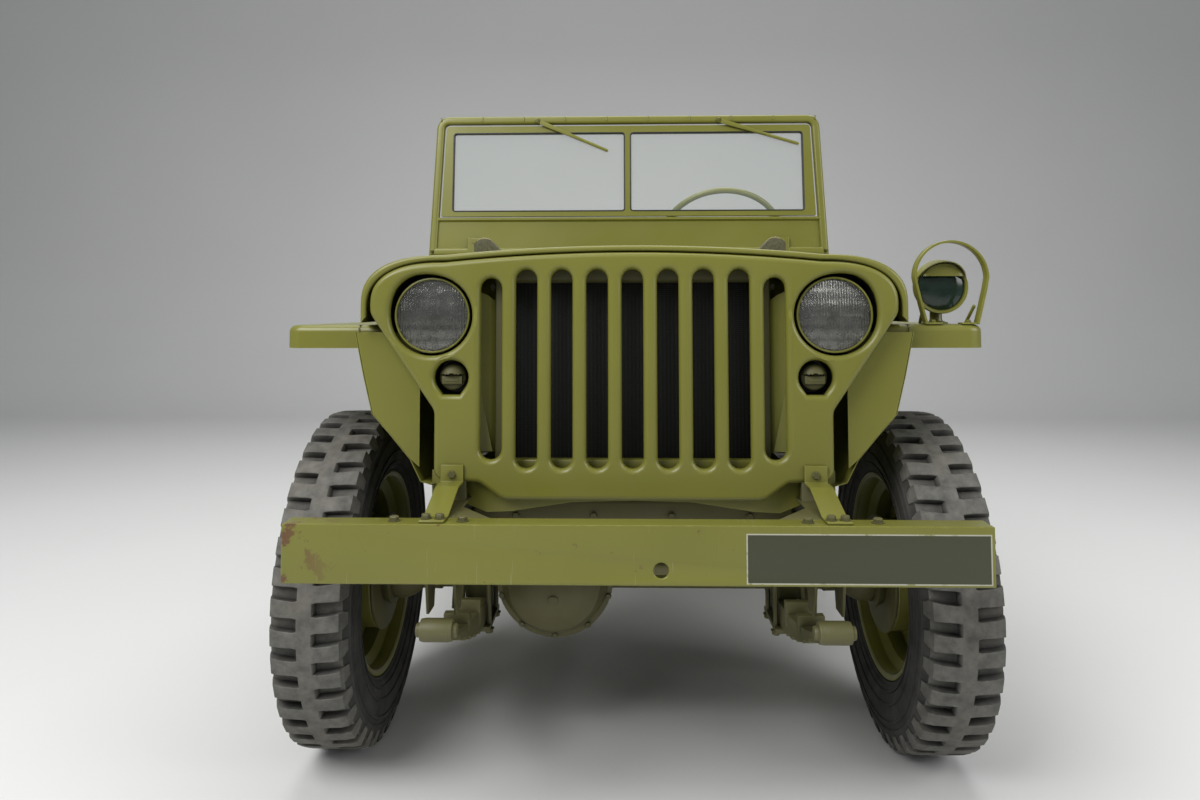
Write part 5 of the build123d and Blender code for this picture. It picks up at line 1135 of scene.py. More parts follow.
@mesh_builder("baffles")
def baffle_mesh(bm):
    """Bent plates behind the end slots, the rail under the core and the skirt under the grille."""
    for side in (1, -1):
        arc = [Vector((0.318 - 0.070 * sin(a), 0.885 + 0.105 * cos(a)))
               for a in (pi / 2 * k / 8 for k in range(9))]
        face = arc + [Vector((0.248, 0.700)), Vector((0.272, 0.668)), Vector((0.318, 0.668))]
        bm.faces.new([bm.verts.new((side * p.x, GRILLE_Y + 0.030 + 0.5 * (0.318 - p.x), p.y)) for p in face])
        strip = ((0.309, 0.790), (0.3005, 0.780), (0.280, 0.672), (0.309, 0.672))
        bm.faces.new([bm.verts.new((side * x, GRILLE_Y + 0.028 + 0.3 * (0.309 - x), z)) for x, z in strip])
    rounded_box(bm, (0, GRILLE_Y + 0.050, 0.6425), (0.520, 0.024, 0.024), radius=0.004)
    skirt = [(0.352, 0.612), (0.330, 0.568), (0.290, 0.552), (0.240, 0.554), (0.120, 0.572), (0, 0.575)]
    skirt += [(-x, z) for x, z in reversed(skirt[:-1])]
    skin(bm, [[(x, GRILLE_Y + 0.036, z) for x, z in skirt],
              [(x, GRILLE_Y + 0.030, 0.614) for x, _ in skirt]])


@mesh_builder("cross_member")
def cross_member_mesh(bm):
    """Front cross member between the frame rails, with the fan pulley over it."""
    rounded_box(bm, (0, -1.335, 0.530), (0.660, 0.056, 0.064), radius=0.008, segments=3)
    for x in (-0.24, -0.08, 0.08, 0.24):
        hex_bolt(bm, (x, -1.363, 0.530), FORWARD)
    lathe(bm, mm_pairs(0.1, 22, 20, 22, 24, 14, 52, 12, 56, 20, 60, 20, 62, 10, 60, 0, 0.1, 0),
          (0, -1.300, 0.590), FORWARD, 40)


add_shaded("grille_baffles", baffle_mesh(), PAINT, modifiers=[sheet(0.0016, 0.0)])
add_shaded("front_cross_member", cross_member_mesh(), CHASSIS, angle=40)
add_shaded("radiator_core", core_mesh(), CORE, replaces=["radiator"])
add_shaded("radiator_shroud", shroud_mesh(), CHASSIS)


# Blackout driving lamp: bucket, double-lipped visor, dark glass, foot and the hoop of flat bar

BLACKOUT_X = 0.650
BLACKOUT_Y = AXLE_F - 0.162
FENDER_TOP = 0.922
BLACKOUT_Z = FENDER_TOP + 0.078
BLACKOUT_R = 0.0565
HOOP_HALF, HOOP_FOOT = 0.0755, 0.0535
HOOP_TOP = FENDER_TOP + 0.1715


@mesh_builder("blackout_lamp_body")
def blackout_lamp_mesh(bm):
    at = (BLACKOUT_X, BLACKOUT_Y, BLACKOUT_Z)
    r = BLACKOUT_R
    lathe(bm, [(r - 0.008, 0.001), (r - 0.006, 0.006), (r - 0.001, 0.007), (r, 0.003), (r, -0.004),
               (r - 0.003, -0.008),
               (r - 0.005, -0.020), (r - 0.014, -0.046), (r - 0.030, -0.062), (0.012, -0.068),
               (0.0001, -0.069)],
          at, FORWARD, 64)
    # Visors: an upper shell that runs to the front and a smaller one under it
    for radius, reach, spread, droop in ((r + 0.001, 0.034, 68, 0.004), (r - 0.006, 0.022, 60, 0.002)):
        rows = []
        for k in range(25):
            a = radians(90 + spread - 2 * spread * k / 24)
            share = cos((k / 24 - 0.5) * pi)
            out = 0.004 + reach * share ** 0.7
            rows.append([Vector((BLACKOUT_X + q * cos(a), BLACKOUT_Y - y, BLACKOUT_Z + q * sin(a) - d))
                         for q, y, d in ((radius, 0.0, 0), (radius - 0.001, out, droop),
                                         (radius - 0.003, out, droop),
                                         (radius - 0.0025, 0.0, 0))])
        skin(bm, rows, wrap=True)
    # Eyelid closing the top of the face
    lid = []
    for k in range(17):
        a = radians(28 + 124 * k / 16)
        lid.append(Vector((BLACKOUT_X + (r - 0.009) * cos(a), BLACKOUT_Y - 0.012 - 0.010 * sin(a),
                           BLACKOUT_Z + (r - 0.009) * sin(a))))
    edge = [Vector((p.x, BLACKOUT_Y - 0.020 - 0.004 * sin(pi * k / 16), BLACKOUT_Z + 0.022))
            for k, p in enumerate(lid)]
    skin(bm, [lid, edge])
    # Foot
    lathe(bm, mm_pairs(0.1, 0, 24, 0, 24, 3, 14, 6, 12.5, 10, 12.5, 36, 0.1, 36),
          (BLACKOUT_X, BLACKOUT_Y + 0.030, FENDER_TOP + 0.0005), UPWARD, 28, closed=True)


@mesh_builder("blackout_hoop")
def hoop_mesh(bm):
    y = BLACKOUT_Y - 0.055
    rows = []
    path = [(HOOP_FOOT, 0.001), (HOOP_FOOT + 0.004, 0.016)]
    path += [(HOOP_HALF - 0.004, HOOP_TOP - FENDER_TOP - HOOP_HALF - 0.022)]
    path += [(HOOP_HALF * cos(a), HOOP_TOP - FENDER_TOP - HOOP_HALF + HOOP_HALF * sin(a))
             for a in (pi * k / 28 for k in range(15))]
    path += [(-x, z) for x, z in reversed(path[:-1])]
    for i, (x, z) in enumerate(path):
        before = Vector(path[max(0, i - 1)])
        after = Vector(path[min(len(path) - 1, i + 1)])
        along = (after - before).normalized()
        inward = Vector((-along.y, along.x))
        rows.append([(BLACKOUT_X + x + inward.x * t, y + d, FENDER_TOP + z + inward.y * t)
                     for t, d in ((0.0005, -0.0105), (0, -0.0098), (0, 0.0098), (0.0005, 0.0105),
                                  (0.0042, 0.0105),
                                  (0.0047, 0.0098), (0.0047, -0.0098), (0.0042, -0.0105))])
    skin(bm, rows, wrap=True, ends=True)
    for side in (1, -1):
        rounded_box(bm, (BLACKOUT_X + side * (HOOP_FOOT - 0.016), y + 0.004, FENDER_TOP + 0.0022),
                    (0.036, 0.026, 0.0036),
                    radius=0.0012)
        hex_bolt(bm, (BLACKOUT_X + side * (HOOP_FOOT - 0.018), y + 0.004, FENDER_TOP + 0.004), UPWARD, 0.010,
                 0.004)
        # Stay from the hoop's foot back to the fender
        tube(bm, [(BLACKOUT_X + side * (HOOP_FOOT - 0.002), y + 0.010, FENDER_TOP + 0.038),
                  (BLACKOUT_X + side * (HOOP_FOOT - 0.006), y + 0.045, FENDER_TOP + 0.003)], 0.0035, 8)


@mesh_builder("blackout_glass")
def blackout_glass_mesh(bm):
    lathe(bm, mm_pairs(0.1, 10, 20, 9.5, 38, 6.5, 48.5, 2, 48.5, -2), (BLACKOUT_X, BLACKOUT_Y, BLACKOUT_Z),
          FORWARD, 48)


add_shaded("blackout_lamp_body", blackout_lamp_mesh(), PAINT, replaces=["blackout_lamp"], angle=40)
add_shaded("blackout_hoop", hoop_mesh(), PAINT, angle=40)
add_shaded("blackout_glass", blackout_glass_mesh(), DARK_GLASS, angle=40)


# Front fenders: pressed plate bent down to the step, with rolled edges and a seam in the front lip

FENDER_LINE = ((-1.397, 0.9220), (-0.835, 0.9220), (-0.350, 0.6400), (-0.270, 0.6000))
FENDER_IN, FENDER_OUT = 0.500, 0.715
FENDER_LIP = 0.047


def bent_line(corners, radius, steps=6):
    """(y, z) points along a line with its inner corners rounded."""
    return rounded_outline([(*corners[0], 0)] + [(*c, radius) for c in corners[1:-1]] + [(*corners[-1], 0)],
                           steps)


def along_line(points):
    """A function giving the point and the unit normal at a distance along the line."""
    lengths = [0.0]
    for a, b in zip(points, points[1:]):
        lengths.append(lengths[-1] + (b - a).length)

    def at(distance):
        k = 0
        while k < len(points) - 2 and distance > lengths[k + 1]:
            k += 1
        share = (distance - lengths[k]) / (lengths[k + 1] - lengths[k])
        ahead = (points[k + 1] - points[k]).normalized()
        return points[k].lerp(points[k + 1], share), Vector((-ahead.y, ahead.x))
    return at, lengths


fender_points = bent_line(FENDER_LINE, 0.11)
fender_at, fender_lengths = along_line(fender_points)


def distance_at(y):
    """How far along the fender's line this y lies."""
    low, high = 0.0, fender_lengths[-1]
    for _ in range(40):
        middle = (low + high) / 2
        if fender_at(middle)[0].x < y:
            low = middle
        else:
            high = middle
    return low


@mesh_builder("fender")
def fender_mesh(bm, side):
    end = fender_lengths[-1] - 0.002
    corners = [(FENDER_IN, 0.0, 0.004), (FENDER_OUT, 0.0, 0.034), (FENDER_OUT, end, 0.010),
               (0.675, end, 0.003), (0.6575, distance_at(-0.335), 0), (0.6260, distance_at(-0.501), 0),
               (FENDER_IN, distance_at(-0.503), 0.003)]
    pressed_plate(bm, rounded_outline(corners, 7), [], 0.0, 0.014, FENDER_LIP, 0.0)
    for distance in fender_lengths[1:-1] + [fender_lengths[1] * k / 6 for k in range(1, 6)]:
        bmesh.ops.bisect_plane(bm, geom=bm.verts[:] + bm.edges[:] + bm.faces[:], plane_co=(0, 0, distance),
                               plane_no=UPWARD)
    for vert in bm.verts:
        x, depth, distance = vert.co
        inner = x < FENDER_IN + 0.001 or (distance > 0.90 and x < 0.680)
        depth = min(depth, 0.014) if inner and distance > 0.02 else depth
        point, normal = fender_at(distance)
        vert.co = Vector((side * x, point.x - normal.x * depth, point.y - normal.y * depth))


@mesh_builder("splash_wall")
def splash_mesh(bm, side):
    """Wall from the fender's inner edge down beside the engine, with pressed ribs."""
    x = side * (FENDER_IN + 0.0015)
    corners = [(-1.427, 0.918), (-1.427, 0.802), (-0.502, 0.752), (-0.502, 0.918)]
    for dx in (0.0, 0.0026):
        bm.faces.new([bm.verts.new((x + side * dx, y, z)) for y, z in corners])
    for y in (-1.30, -1.12, -0.94, -0.76, -0.60):
        rounded_box(bm, (x + side * 0.003, y, 0.850), (0.007, 0.022, 0.105), radius=0.003)


# (x, z) down the apron, from under the fender to the frame, clear of the steered tyre
APRON = ((0.556, 0.908), (0.538, 0.820), (0.520, 0.745), (0.482, 0.702), (0.442, 0.654), (0.420, 0.610),
         (0.398, 0.604))


@mesh_builder("apron")
def apron_mesh(bm, side):
    """Inner wall of the wheel arch, bent in towards the frame."""
    rows = []
    for y in [-1.424, -1.418] + [-1.40 + 0.0897 * k for k in range(11)]:
        roof = fender_at(distance_at(y))[0].y - 0.014
        rows.append([(side * (x + (0.004 if y < -1.42 else 0.0)), y, min(z, roof)) for x, z in APRON])
    skin(bm, rows)
    closing = APRON[:5] + ((0.426, 0.640), (0.426, 0.908))
    bm.faces.new([bm.verts.new((side * x, -1.4290, z)) for x, z in closing])
    rounded_box(bm, (side * 0.393, -1.405, 0.585), (0.022, 0.003, 0.090), radius=0.001)


@mesh_builder("fender_trim")
def fender_trim_mesh(bm, side):
    """Bolts down the fender's inner edge, and the seam in its front lip."""
    for k in range(6):
        hex_bolt(bm, (side * (FENDER_IN + 0.016), -1.36 + 0.15 * k, 0.9222), UPWARD, 0.011, 0.005)
    rounded_box(bm, (side * 0.560, -1.3975, 0.897), (0.0030, 0.0012, 0.040), radius=0.0004)
    rounded_box(bm, (side * 0.560, -1.385, 0.9222), (0.0030, 0.024, 0.0012), radius=0.0004)


for side_name, side in SIDES:
    add_shaded("fender_" + side_name, fender_mesh(side), PAINT, replaces=["fenders"] if side > 0 else [],
               angle=50,
               modifiers=[sheet(PLATE)], even=True)
    add_shaded("splash_wall_" + side_name, splash_mesh(side), PAINT)
    add_shaded("fender_apron_" + side_name, apron_mesh(side), PAINT, modifiers=[sheet(0.002, 0.0)])
    add_shaded("fender_trim_" + side_name, fender_trim_mesh(side), CHASSIS, slot="olive_paint")


# Wheels: rim with rolled flanges, dished disc, five nuts, hub cap, valve and brake drum

CAP_RING, NUT_RING, RIVET_RING = 0.0430, 0.06985, 0.1795


def wheel_disc(bm, drum):
    at = (0, 0, 0)
    lathe(bm, mm_pairs(220, 60, 221.2, 62.5, 219.5, 64, 216, 63.2, 209, 58.5, 206, 54, 205, 33, 199, 28,
                       188, 21.5, 187, -20, 195, -26, 205, -33, 206, -54, 209, -58.5, 216, -63.2,
                       219.5, -64, 221.2, -62.5, 220, -60, 216, -59.5, 211, -56, 208.5, -52, 208, -34,
                       190, -18, 190.5, 18, 208, 34, 208.5, 52, 211, 56, 216, 59.5),
          at, ACROSS, 88, closed=True)
    lathe(bm, mm_pairs(187.2, 20, 180, 20.6, 170, 16, 150, 15, 125, 17.5, 112, 27, 102, 37, 94, 41.2,
                       56, 41.8, 48, 40, 30, 40, 30, 35, 92, 36, 100, 32, 110, 22, 123, 12.5, 150, 9.8,
                       172, 11, 187.2, 15), at, ACROSS, 88, closed=True)
    # Hub cap with its flange
    lathe(bm, mm_pairs(50, 40, 50.5, 46, 46, 48, 37.5, 49, 36.5, 58, 33, 61.2, 12, 61.8, 0.1, 61.8), at,
          ACROSS, 48)
    for a in turns(6):
        hex_bolt(bm, (0.0470, CAP_RING * sin(a), CAP_RING * cos(a)), ACROSS, 0.0085, 0.004)
    for a in turns(5, 0.5):
        y, z = NUT_RING * sin(a), NUT_RING * cos(a)
        lathe(bm, mm_pairs(17.5, 41.5, 15, 44.5, 11.5, 45, 0.1, 45), (0, y, z), ACROSS, 18)
        hex_bolt(bm, (0.0445, y, z), ACROSS, 0.019, 0.010)
        lathe(bm, mm_pairs(6, 54, 6, 61, 5, 62, 0.1, 62), (0, y, z), ACROSS, 14)
    tube(bm, [(0.0250, 0.150, 0.130), (0.0420, 0.147, 0.127), (0.0540, 0.142, 0.122)], 0.0040, 10)
    for a in turns(8, 0.25):
        rivet(bm, (0.0205, RIVET_RING * sin(a), RIVET_RING * cos(a)), ACROSS, 0.0050)
    if drum:
        lathe(bm, mm_pairs(122, -56.5, 123.5, -54, 122, -49, 122, -15, 119, -11, 48, -10.5, 45, 38,
                           22.8, 38, 22.8, -16.5, 116, -16.5, 116, -56.5), at, ACROSS, 64, closed=True)


WHEEL_MESH = mesh_of("road_wheel", lambda bm: wheel_disc(bm, True))
SPARE_MESH = mesh_of("spare_wheel", lambda bm: wheel_disc(bm, False))


def place_wheel(node, source, body, matrix):
    mesh = source.copy()
    mesh.transform(matrix)
    add_shaded(node + "_steel", mesh, PAINT, body, [node], angle=38)


for end, turn in (("front_left", 0), ("rear_left", 0), ("front_right", pi), ("rear_right", pi)):
    hub = joint_place("roll_" + end)
    place_wheel("wheel_" + end, WHEEL_MESH, "wheel_" + end,
                Matrix.Translation(hub) @ Matrix.Rotation(turn, 4, "Z"))
place_wheel("spare_rim", SPARE_MESH, "chassis", SPARE_PLACE)


TAIL_Y = AXLE_R + 0.560
MOUNT_RING = 0.078


@mesh_builder("spare_mount")
def spare_mount_mesh(bm):
    """Bracket from the tail panel to the spare's disc, with its six bolts."""
    lathe(bm, mm_pairs(0.1, 0, 95, 0, 95, 4, 55, 10, 45, 20, 45, 110, 88, 124, 88, 130, 0.1, 130),
          (SPARE_AT.x, TAIL_Y + 0.001, SPARE_AT.z), BACKWARD, 48)
    for a in turns(6):
        hex_bolt(bm, (SPARE_AT.x + MOUNT_RING * cos(a), TAIL_Y + 0.0045, SPARE_AT.z + MOUNT_RING * sin(a)),
                 BACKWARD, 0.012, 0.006)


add_shaded("spare_mount", spare_mount_mesh(), PAINT)


# Axles and springs: bowl covers, U-bolts, clips and pins; bolts of the bumper straps

SPRING_X = 0.3465
BOWL_X, BOWL_RING = -0.170, 0.1235


@mesh_builder("axle_trim")
def axle_trim_mesh(bm):
    for y, facing in ((AXLE_F, -1), (AXLE_R, 1)):
        at = (BOWL_X, y, TYRE_R)
        lathe(bm, mm_pairs(0.1, 117.8, 30, 117.2, 62, 111, 92, 96, 110, 72, 116.5, 56, 129, 54, 129.5, 42,
                           118, 40), at, (0, facing, 0), 56)
        for a in turns(10, 0.5):
            hex_bolt(bm, (BOWL_X + BOWL_RING * cos(a), y + facing * 0.0542, TYRE_R + BOWL_RING * sin(a)),
                     (0, facing, 0),
                     0.0105, 0.005)
        lathe(bm, mm_pairs(13, 0, 13, 6, 10, 8, 0.1, 8), (BOWL_X, y + facing * 0.112, TYRE_R - 0.030),
              (0, facing, -0.3), 16)
        for side in (1, -1):
            for dy in (-0.052, 0.052):
                path = [(side * (SPRING_X + dx), y + dy, z) for dx, z in
                        ((-0.030, 0.248), (-0.030, 0.382), (-0.022, 0.395), (0, 0.399), (0.022, 0.395),
                         (0.030, 0.382), (0.030, 0.248))]
                tube(bm, path, 0.0058, 9)
                for dx in (-0.030, 0.030):
                    hex_bolt(bm, (side * (SPRING_X + dx), y + dy, 0.2500), DOWNWARD, 0.016, 0.009)


@mesh_builder("spring_clips")
def spring_clip_mesh(bm):
    for y, half in ((AXLE_F, 0.46), (AXLE_R, 0.50)):
        for side in (1, -1):
            for share, z in ((-0.58, 0.3405), (0.58, 0.3405), (-0.30, 0.316), (0.30, 0.316)):
                rounded_box(bm, (side * SPRING_X, y + share * half, z),
                            (0.052, 0.020, 0.034 + 0.016 * (abs(share) < 0.5)),
                            radius=0.002)
            for end in (-1, 1):
                pin = (side * SPRING_X, y + end * half, 0.392)
                lathe(bm, mm_pairs(0.1, 36, 11, 36, 12.5, 33, 12.5, 29, 18.5, 28, 19.5, 24, 19.5, -24,
                                   18.5, -28, 12.5, -29, 12.5, -33, 11, -36, 0.1, -36), pin, ACROSS, 28)


@mesh_builder("strap_bolts")
def strap_bolt_mesh(bm):
    """Bolts through the straps' feet, the bumper's top and the grille's foot."""
    for side in (1, -1):
        for x, y in ((0.340, -1.640), (0.364, -1.640)):
            hex_bolt(bm, (side * x, y, 0.5885), UPWARD, 0.014, 0.007)
        hex_bolt(bm, (side * 0.352, -1.4695, 0.634), FORWARD, 0.014, 0.007)
        for x in (0.300, 0.420):
            hex_bolt(bm, (side * x, -1.640, 0.5842), UPWARD, 0.015, 0.007)


add_shaded("axle_trim", axle_trim_mesh(), CHASSIS)
add_shaded("spring_clips", spring_clip_mesh(), CHASSIS)
add_shaded("strap_bolts", strap_bolt_mesh(), CHASSIS)


# Seats: bent tube frames, pressed pans, back panels and simulated cushions with piping


def rounded_path(points, radius, steps=5):
    """An open path in space with its inner corners rounded."""
    points = [Vector(p) for p in points]
    path = [points[0]]
    for before, here, after in zip(points, points[1:], points[2:]):
        start = here + (before - here).normalized() * radius
        end = here + (after - here).normalized() * radius
        for k in range(steps + 1):
            t = k / steps
            path.append(start.lerp(here, t).lerp(here.lerp(end, t), t))
    return path + [points[-1]]


# name, middle x, middle y, width, depth, cushion underside, floor, back height
SEATS = (
    ("left", 0.335, 0.165, 0.430, 0.400, 0.7733, 0.5623, 0.290),
    ("right", -0.335, 0.165, 0.430, 0.400, 0.7733, 0.5623, 0.290),
    ("rear", 0.0, 0.927, 0.860, 0.360, 0.7633, 0.6183, 0.230),
)
CUSHION_T = 0.075
PAD_EDGE = 0.012


@mesh_builder("seat_frame")
def seat_frame_mesh(bm, x, y, width, depth, base, floor, back):
    half = width / 2 - 0.010
    front, rear = y - depth / 2 + 0.020, y + depth / 2 + 0.012
    rail = base - 0.014
    top = base + CUSHION_T + back - 0.040
    tube(bm, rounded_path([(x - half, front, floor), (x - half, front, rail), (x - half, rear, rail),
                           (x - half, rear + 0.016, top), (x + half, rear + 0.016, top),
                           (x + half, rear, rail),
                           (x + half, front, rail), (x + half, front, floor)], 0.045, 6), 0.0115, 14)
    for side in (1, -1):
        tube(bm, [(x + side * half, rear - 0.035, rail), (x + side * (half - 0.005), rear - 0.030, floor)],
             0.0105, 12)
        for foot in (front, rear - 0.030):
            rounded_box(bm, (x + side * half, foot, floor + 0.002), (0.044, 0.044, 0.004), radius=0.0015)
    tube(bm, [(x - half, front, rail), (x + half, front, rail)], 0.0095, 12)
    rounded_box(bm, (x, y, base - 0.0045), (width - 0.030, depth - 0.030, 0.006), radius=0.0025)
    rounded_box(bm, (x, rear + 0.014, (base + CUSHION_T + top) / 2 - 0.012),
                (width - 0.034, 0.004, back - 0.060), radius=0.0015)


@mesh_builder("pad")
def start_pad(bm, size):
    """The pad before it swells: a rounded box, slightly small."""
    bmesh.ops.create_cube(bm, size=1.0, matrix=Matrix.Diagonal((*size, 1)))
    bmesh.ops.bevel(bm, geom=bm.edges[:], offset=PAD_EDGE, segments=3, affect="EDGES", profile=0.5)


def swell(piece, size, cap):
    """Remeshes the pad, blows it up as cloth held along its seams, and keeps the shape within cap."""
    with_modifiers(piece, ("REMESH", {"mode": "VOXEL", "voxel_size": 0.0075}))
    seams = piece.vertex_groups.new(name="seams")
    half = Vector(size) / 2
    near_x, near_y, near_z = half.x - 0.009, half.y - 0.009, half.z - PAD_EDGE
    edge = [v.index for v in piece.data.vertices
            if abs(v.co.z) > near_z and (abs(v.co.x) > near_x or abs(v.co.y) > near_y)]
    seams.add(edge, 1.0, "REPLACE")
    before = [v.co.copy() for v in piece.data.vertices]
    cloth = piece.modifiers.new("cloth", "CLOTH")
    cloth.settings.quality = 4
    cloth.settings.mass = 0.25
    cloth.settings.tension_stiffness = 12
    cloth.settings.bending_stiffness = 0.6
    cloth.settings.use_pressure = True
    cloth.settings.uniform_pressure_force = 4.0
    cloth.settings.effector_weights.gravity = 0
    cloth.settings.vertex_group_mass = "seams"
    scene = bpy.context.scene
    for step in range(1, 21):
        scene.frame_set(step)
    swollen = piece.evaluated_get(bpy.context.evaluated_depsgraph_get()).to_mesh()
    after = [v.co.copy() for v in swollen.vertices]
    piece.modifiers.clear()
    scene.frame_set(1)
    for vert, old, new in zip(piece.data.vertices, before, after):
        move = new - old
        vert.co = old + move * min(1.0, cap / max(move.length, 1e-9))
    with_modifiers(piece, ("SMOOTH", {"factor": 0.5, "iterations": 2}),
                   ("SUBSURF", {"levels": 1, "render_levels": 1}))


@mesh_builder("piping")
def piping_mesh(bm, size):
    """Welt round the top and bottom edges of a pad."""
    half = Vector(size) / 2
    for z in (half.z - 0.003, 0.003 - half.z):
        loop = rounded_outline([(-half.x, -half.y, 0.016), (half.x, -half.y, 0.016), (half.x, half.y, 0.016),
                                (-half.x, half.y, 0.016)], 6)
        tube(bm, [(p.x, p.y, z) for p in loop], 0.0033, 9, closed=True)


def make_pad(name, size, places, cap):
    """One pad simulated once, with copies at each (name, matrix) place."""
    piece = add_piece(name + "_" + places[0][0], start_pad(size), CLOTH)
    swell(piece, size, cap)
    smooth(piece.data, 60)
    pad = piece.data
    welt = piping_mesh(size)
    smooth(welt, 60)
    for number, (label, matrix) in enumerate(places):
        if number:
            piece = add_piece(name + "_" + label, pad.copy(), CLOTH)
        piece.matrix_world = matrix
        trim = add_piece(name + "_welt_" + label, welt.copy(), CLOTH)
        trim.matrix_world = matrix


for name, *seat in SEATS:
    add_shaded("seat_frame_" + name, seat_frame_mesh(*seat), PAINT,
               replaces=["seat_frames"] if name == "left" else [])

front_seats, rear_seat = SEATS[:2], SEATS[2:]
for group, seats in (("front", front_seats), ("rear", rear_seat)):
    _, _, _, width, depth, base, _, back = seats[0]
    seat_size = (width - 0.022, depth - 0.024, CUSHION_T - 0.014)
    back_size = (width - 0.034, back - 0.084, 0.044)
    lean = Matrix.Rotation(radians(90), 4, "X")
    make_pad(group + "_cushion", seat_size,
             [(name, Matrix.Translation((x, y, base + CUSHION_T / 2 - 0.004))) for name, x, y, *_ in seats],
             0.012)
    make_pad(group + "_back_pad", back_size,
             [(name, Matrix.Translation((x, y + depth / 2 - 0.007,
                                         base + CUSHION_T + back / 2 - 0.030)) @ lean)
              for name, x, y, *_ in seats], 0.012)
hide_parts("seat_cushions")


# Steering wheel, and the dash with its plain dials and knobs

WHEEL_AT = joint_place("steering_wheel_turn")
COLUMN_TILT = radians(38)
WHEEL_UP = Vector((0, cos(COLUMN_TILT), sin(COLUMN_TILT)))
STEERING_R = 0.2150


@mesh_builder("steering_wheel_rim")
def steering_wheel_mesh(bm):
    side = Vector(ACROSS)
    rise = WHEEL_UP.cross(side)
    tube(bm, [WHEEL_AT + STEERING_R * (side * cos(a) + rise * sin(a)) for a in turns(72)], 0.0105, 14,
         closed=True)
    for k in range(3):
        a = pi / 2 + 2 * pi * k / 3
        out = side * cos(a) + rise * sin(a)
        across = WHEEL_UP.cross(out)
        for shift in (-0.011, 0.0, 0.011):
            tube(bm, [WHEEL_AT - WHEEL_UP * 0.022 + out * 0.026 + across * shift,
                      WHEEL_AT - WHEEL_UP * 0.010 + out * 0.110 + across * shift,
                      WHEEL_AT + out * 0.2080 + across * shift], 0.0026, 8)
        rounded_box(bm, WHEEL_AT + out * 0.202, (0.034, 0.020, 0.020),
                    Matrix((across, WHEEL_UP, out)).transposed(), 0.006)
    lathe(bm, mm_pairs(0.1, 6, 17, 5, 21, 1, 22, -6, 30, -10, 30, -30, 22, -36, 20.5, -44, 0.1, -44),
          WHEEL_AT, WHEEL_UP, 36)


add_shaded("steering_wheel_rim", steering_wheel_mesh(), PAINT, "steering_wheel", ["steering_wheel"], angle=45)

DASH_Y = Vector(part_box("dash_panel")[1]).y
# x, z, radius
DIALS = ((0.075, 0.942, 0.044), (-0.020, 0.972, 0.026), (-0.020, 0.908, 0.026), (0.170, 0.972, 0.026),
         (0.170, 0.908, 0.026))
KNOBS = ((-0.090, 0.875), (0.235, 0.875), (0.020, 0.868), (0.128, 0.868), (0.420, 0.930), (0.470, 0.930))


@mesh_builder("dial_rims")
def dial_rim_mesh(bm):
    for x, z, r in DIALS:
        lathe(bm, [(r - 0.004, 0.0), (r - 0.0035, 0.005), (r - 0.001, 0.0065), (r + 0.003, 0.005),
                   (r + 0.004, 0.0)],
              (x, DASH_Y, z), BACKWARD, 40)
    for x, z in KNOBS:
        lathe(bm, mm_pairs(4, 0, 4, 14, 11, 16, 12.5, 20, 11, 25, 0.1, 26), (x, DASH_Y, z), BACKWARD, 24)


@mesh_builder("dial_faces")
def dial_face_mesh(bm):
    for x, z, r in DIALS:
        lathe(bm, [(0.0001, 0.0030), (r - 0.004, 0.0024), (r - 0.004, 0.0)], (x, DASH_Y, z), BACKWARD, 40)


@mesh_builder("dial_needles")
def needle_mesh(bm):
    """A hand and a ring of plain ticks on each dial."""
    for x, z, r in DIALS:
        for k in range(9):
            a = radians(-30 + 30 * k)
            turn = Matrix.Rotation(-a, 3, "Y")
            at = Vector((x + (r - 0.009) * cos(a), DASH_Y + 0.0031, z + (r - 0.009) * sin(a)))
            rounded_box(bm, at, (0.005, 0.0004, 0.0011), turn, 0.0001)
        rounded_box(bm, (x - r * 0.2, DASH_Y + 0.0040, z - r * 0.15), (r * 0.62, 0.0005, 0.0016),
                    Matrix.Rotation(-0.64, 3, "Y"), 0.0002)


add_shaded("dial_rims", dial_rim_mesh(), BLACK, angle=45)
add_shaded("dial_faces", dial_face_mesh(), BLACK, angle=45)
add_shaded("dial_needles", needle_mesh(), IVORY, angle=45)


@mesh_builder("gear_levers")
def lever_mesh(bm):
    """Gear and transfer levers: cranked rods with ball knobs and boots."""
    for x, y, foot, lean, top in ((-0.010, -0.140, 0.770, 0.090, 1.065),
                                  (-0.060, -0.110, 0.770, 0.060, 0.960),
                                  (-0.095, -0.100, 0.770, 0.060, 0.955)):
        tube(bm, rounded_path([(x, y, foot - 0.020), (x, y, foot + 0.060), (x, y + lean, top)], 0.04, 5),
             0.0060, 10)
        lathe(bm, mm_pairs(0.1, 20, 10, 17.5, 16.5, 11, 18.5, 0, 16.5, -11, 8, -18.5, 6, -22),
              (x, y + lean, top), (0, 0.3, 1), 24)
        lathe(bm, mm_pairs(34, 0, 33, 6, 26, 12, 28, 18, 20, 24, 21, 30, 12, 40, 6.5, 44),
              (x, y, foot - 0.022), UPWARD, 24)


add_shaded("gear_levers", lever_mesh(), BLACK, replaces=["levers"], angle=45)


# Body trim: beads, strap loops, tail ribs, tail lamps and the knuckles of the hood's hinge

BODY_X, BEAD_Z = 0.7245, 0.9555
TAIL_LAMP_X, TAIL_LAMP_Z = 0.600, 0.800


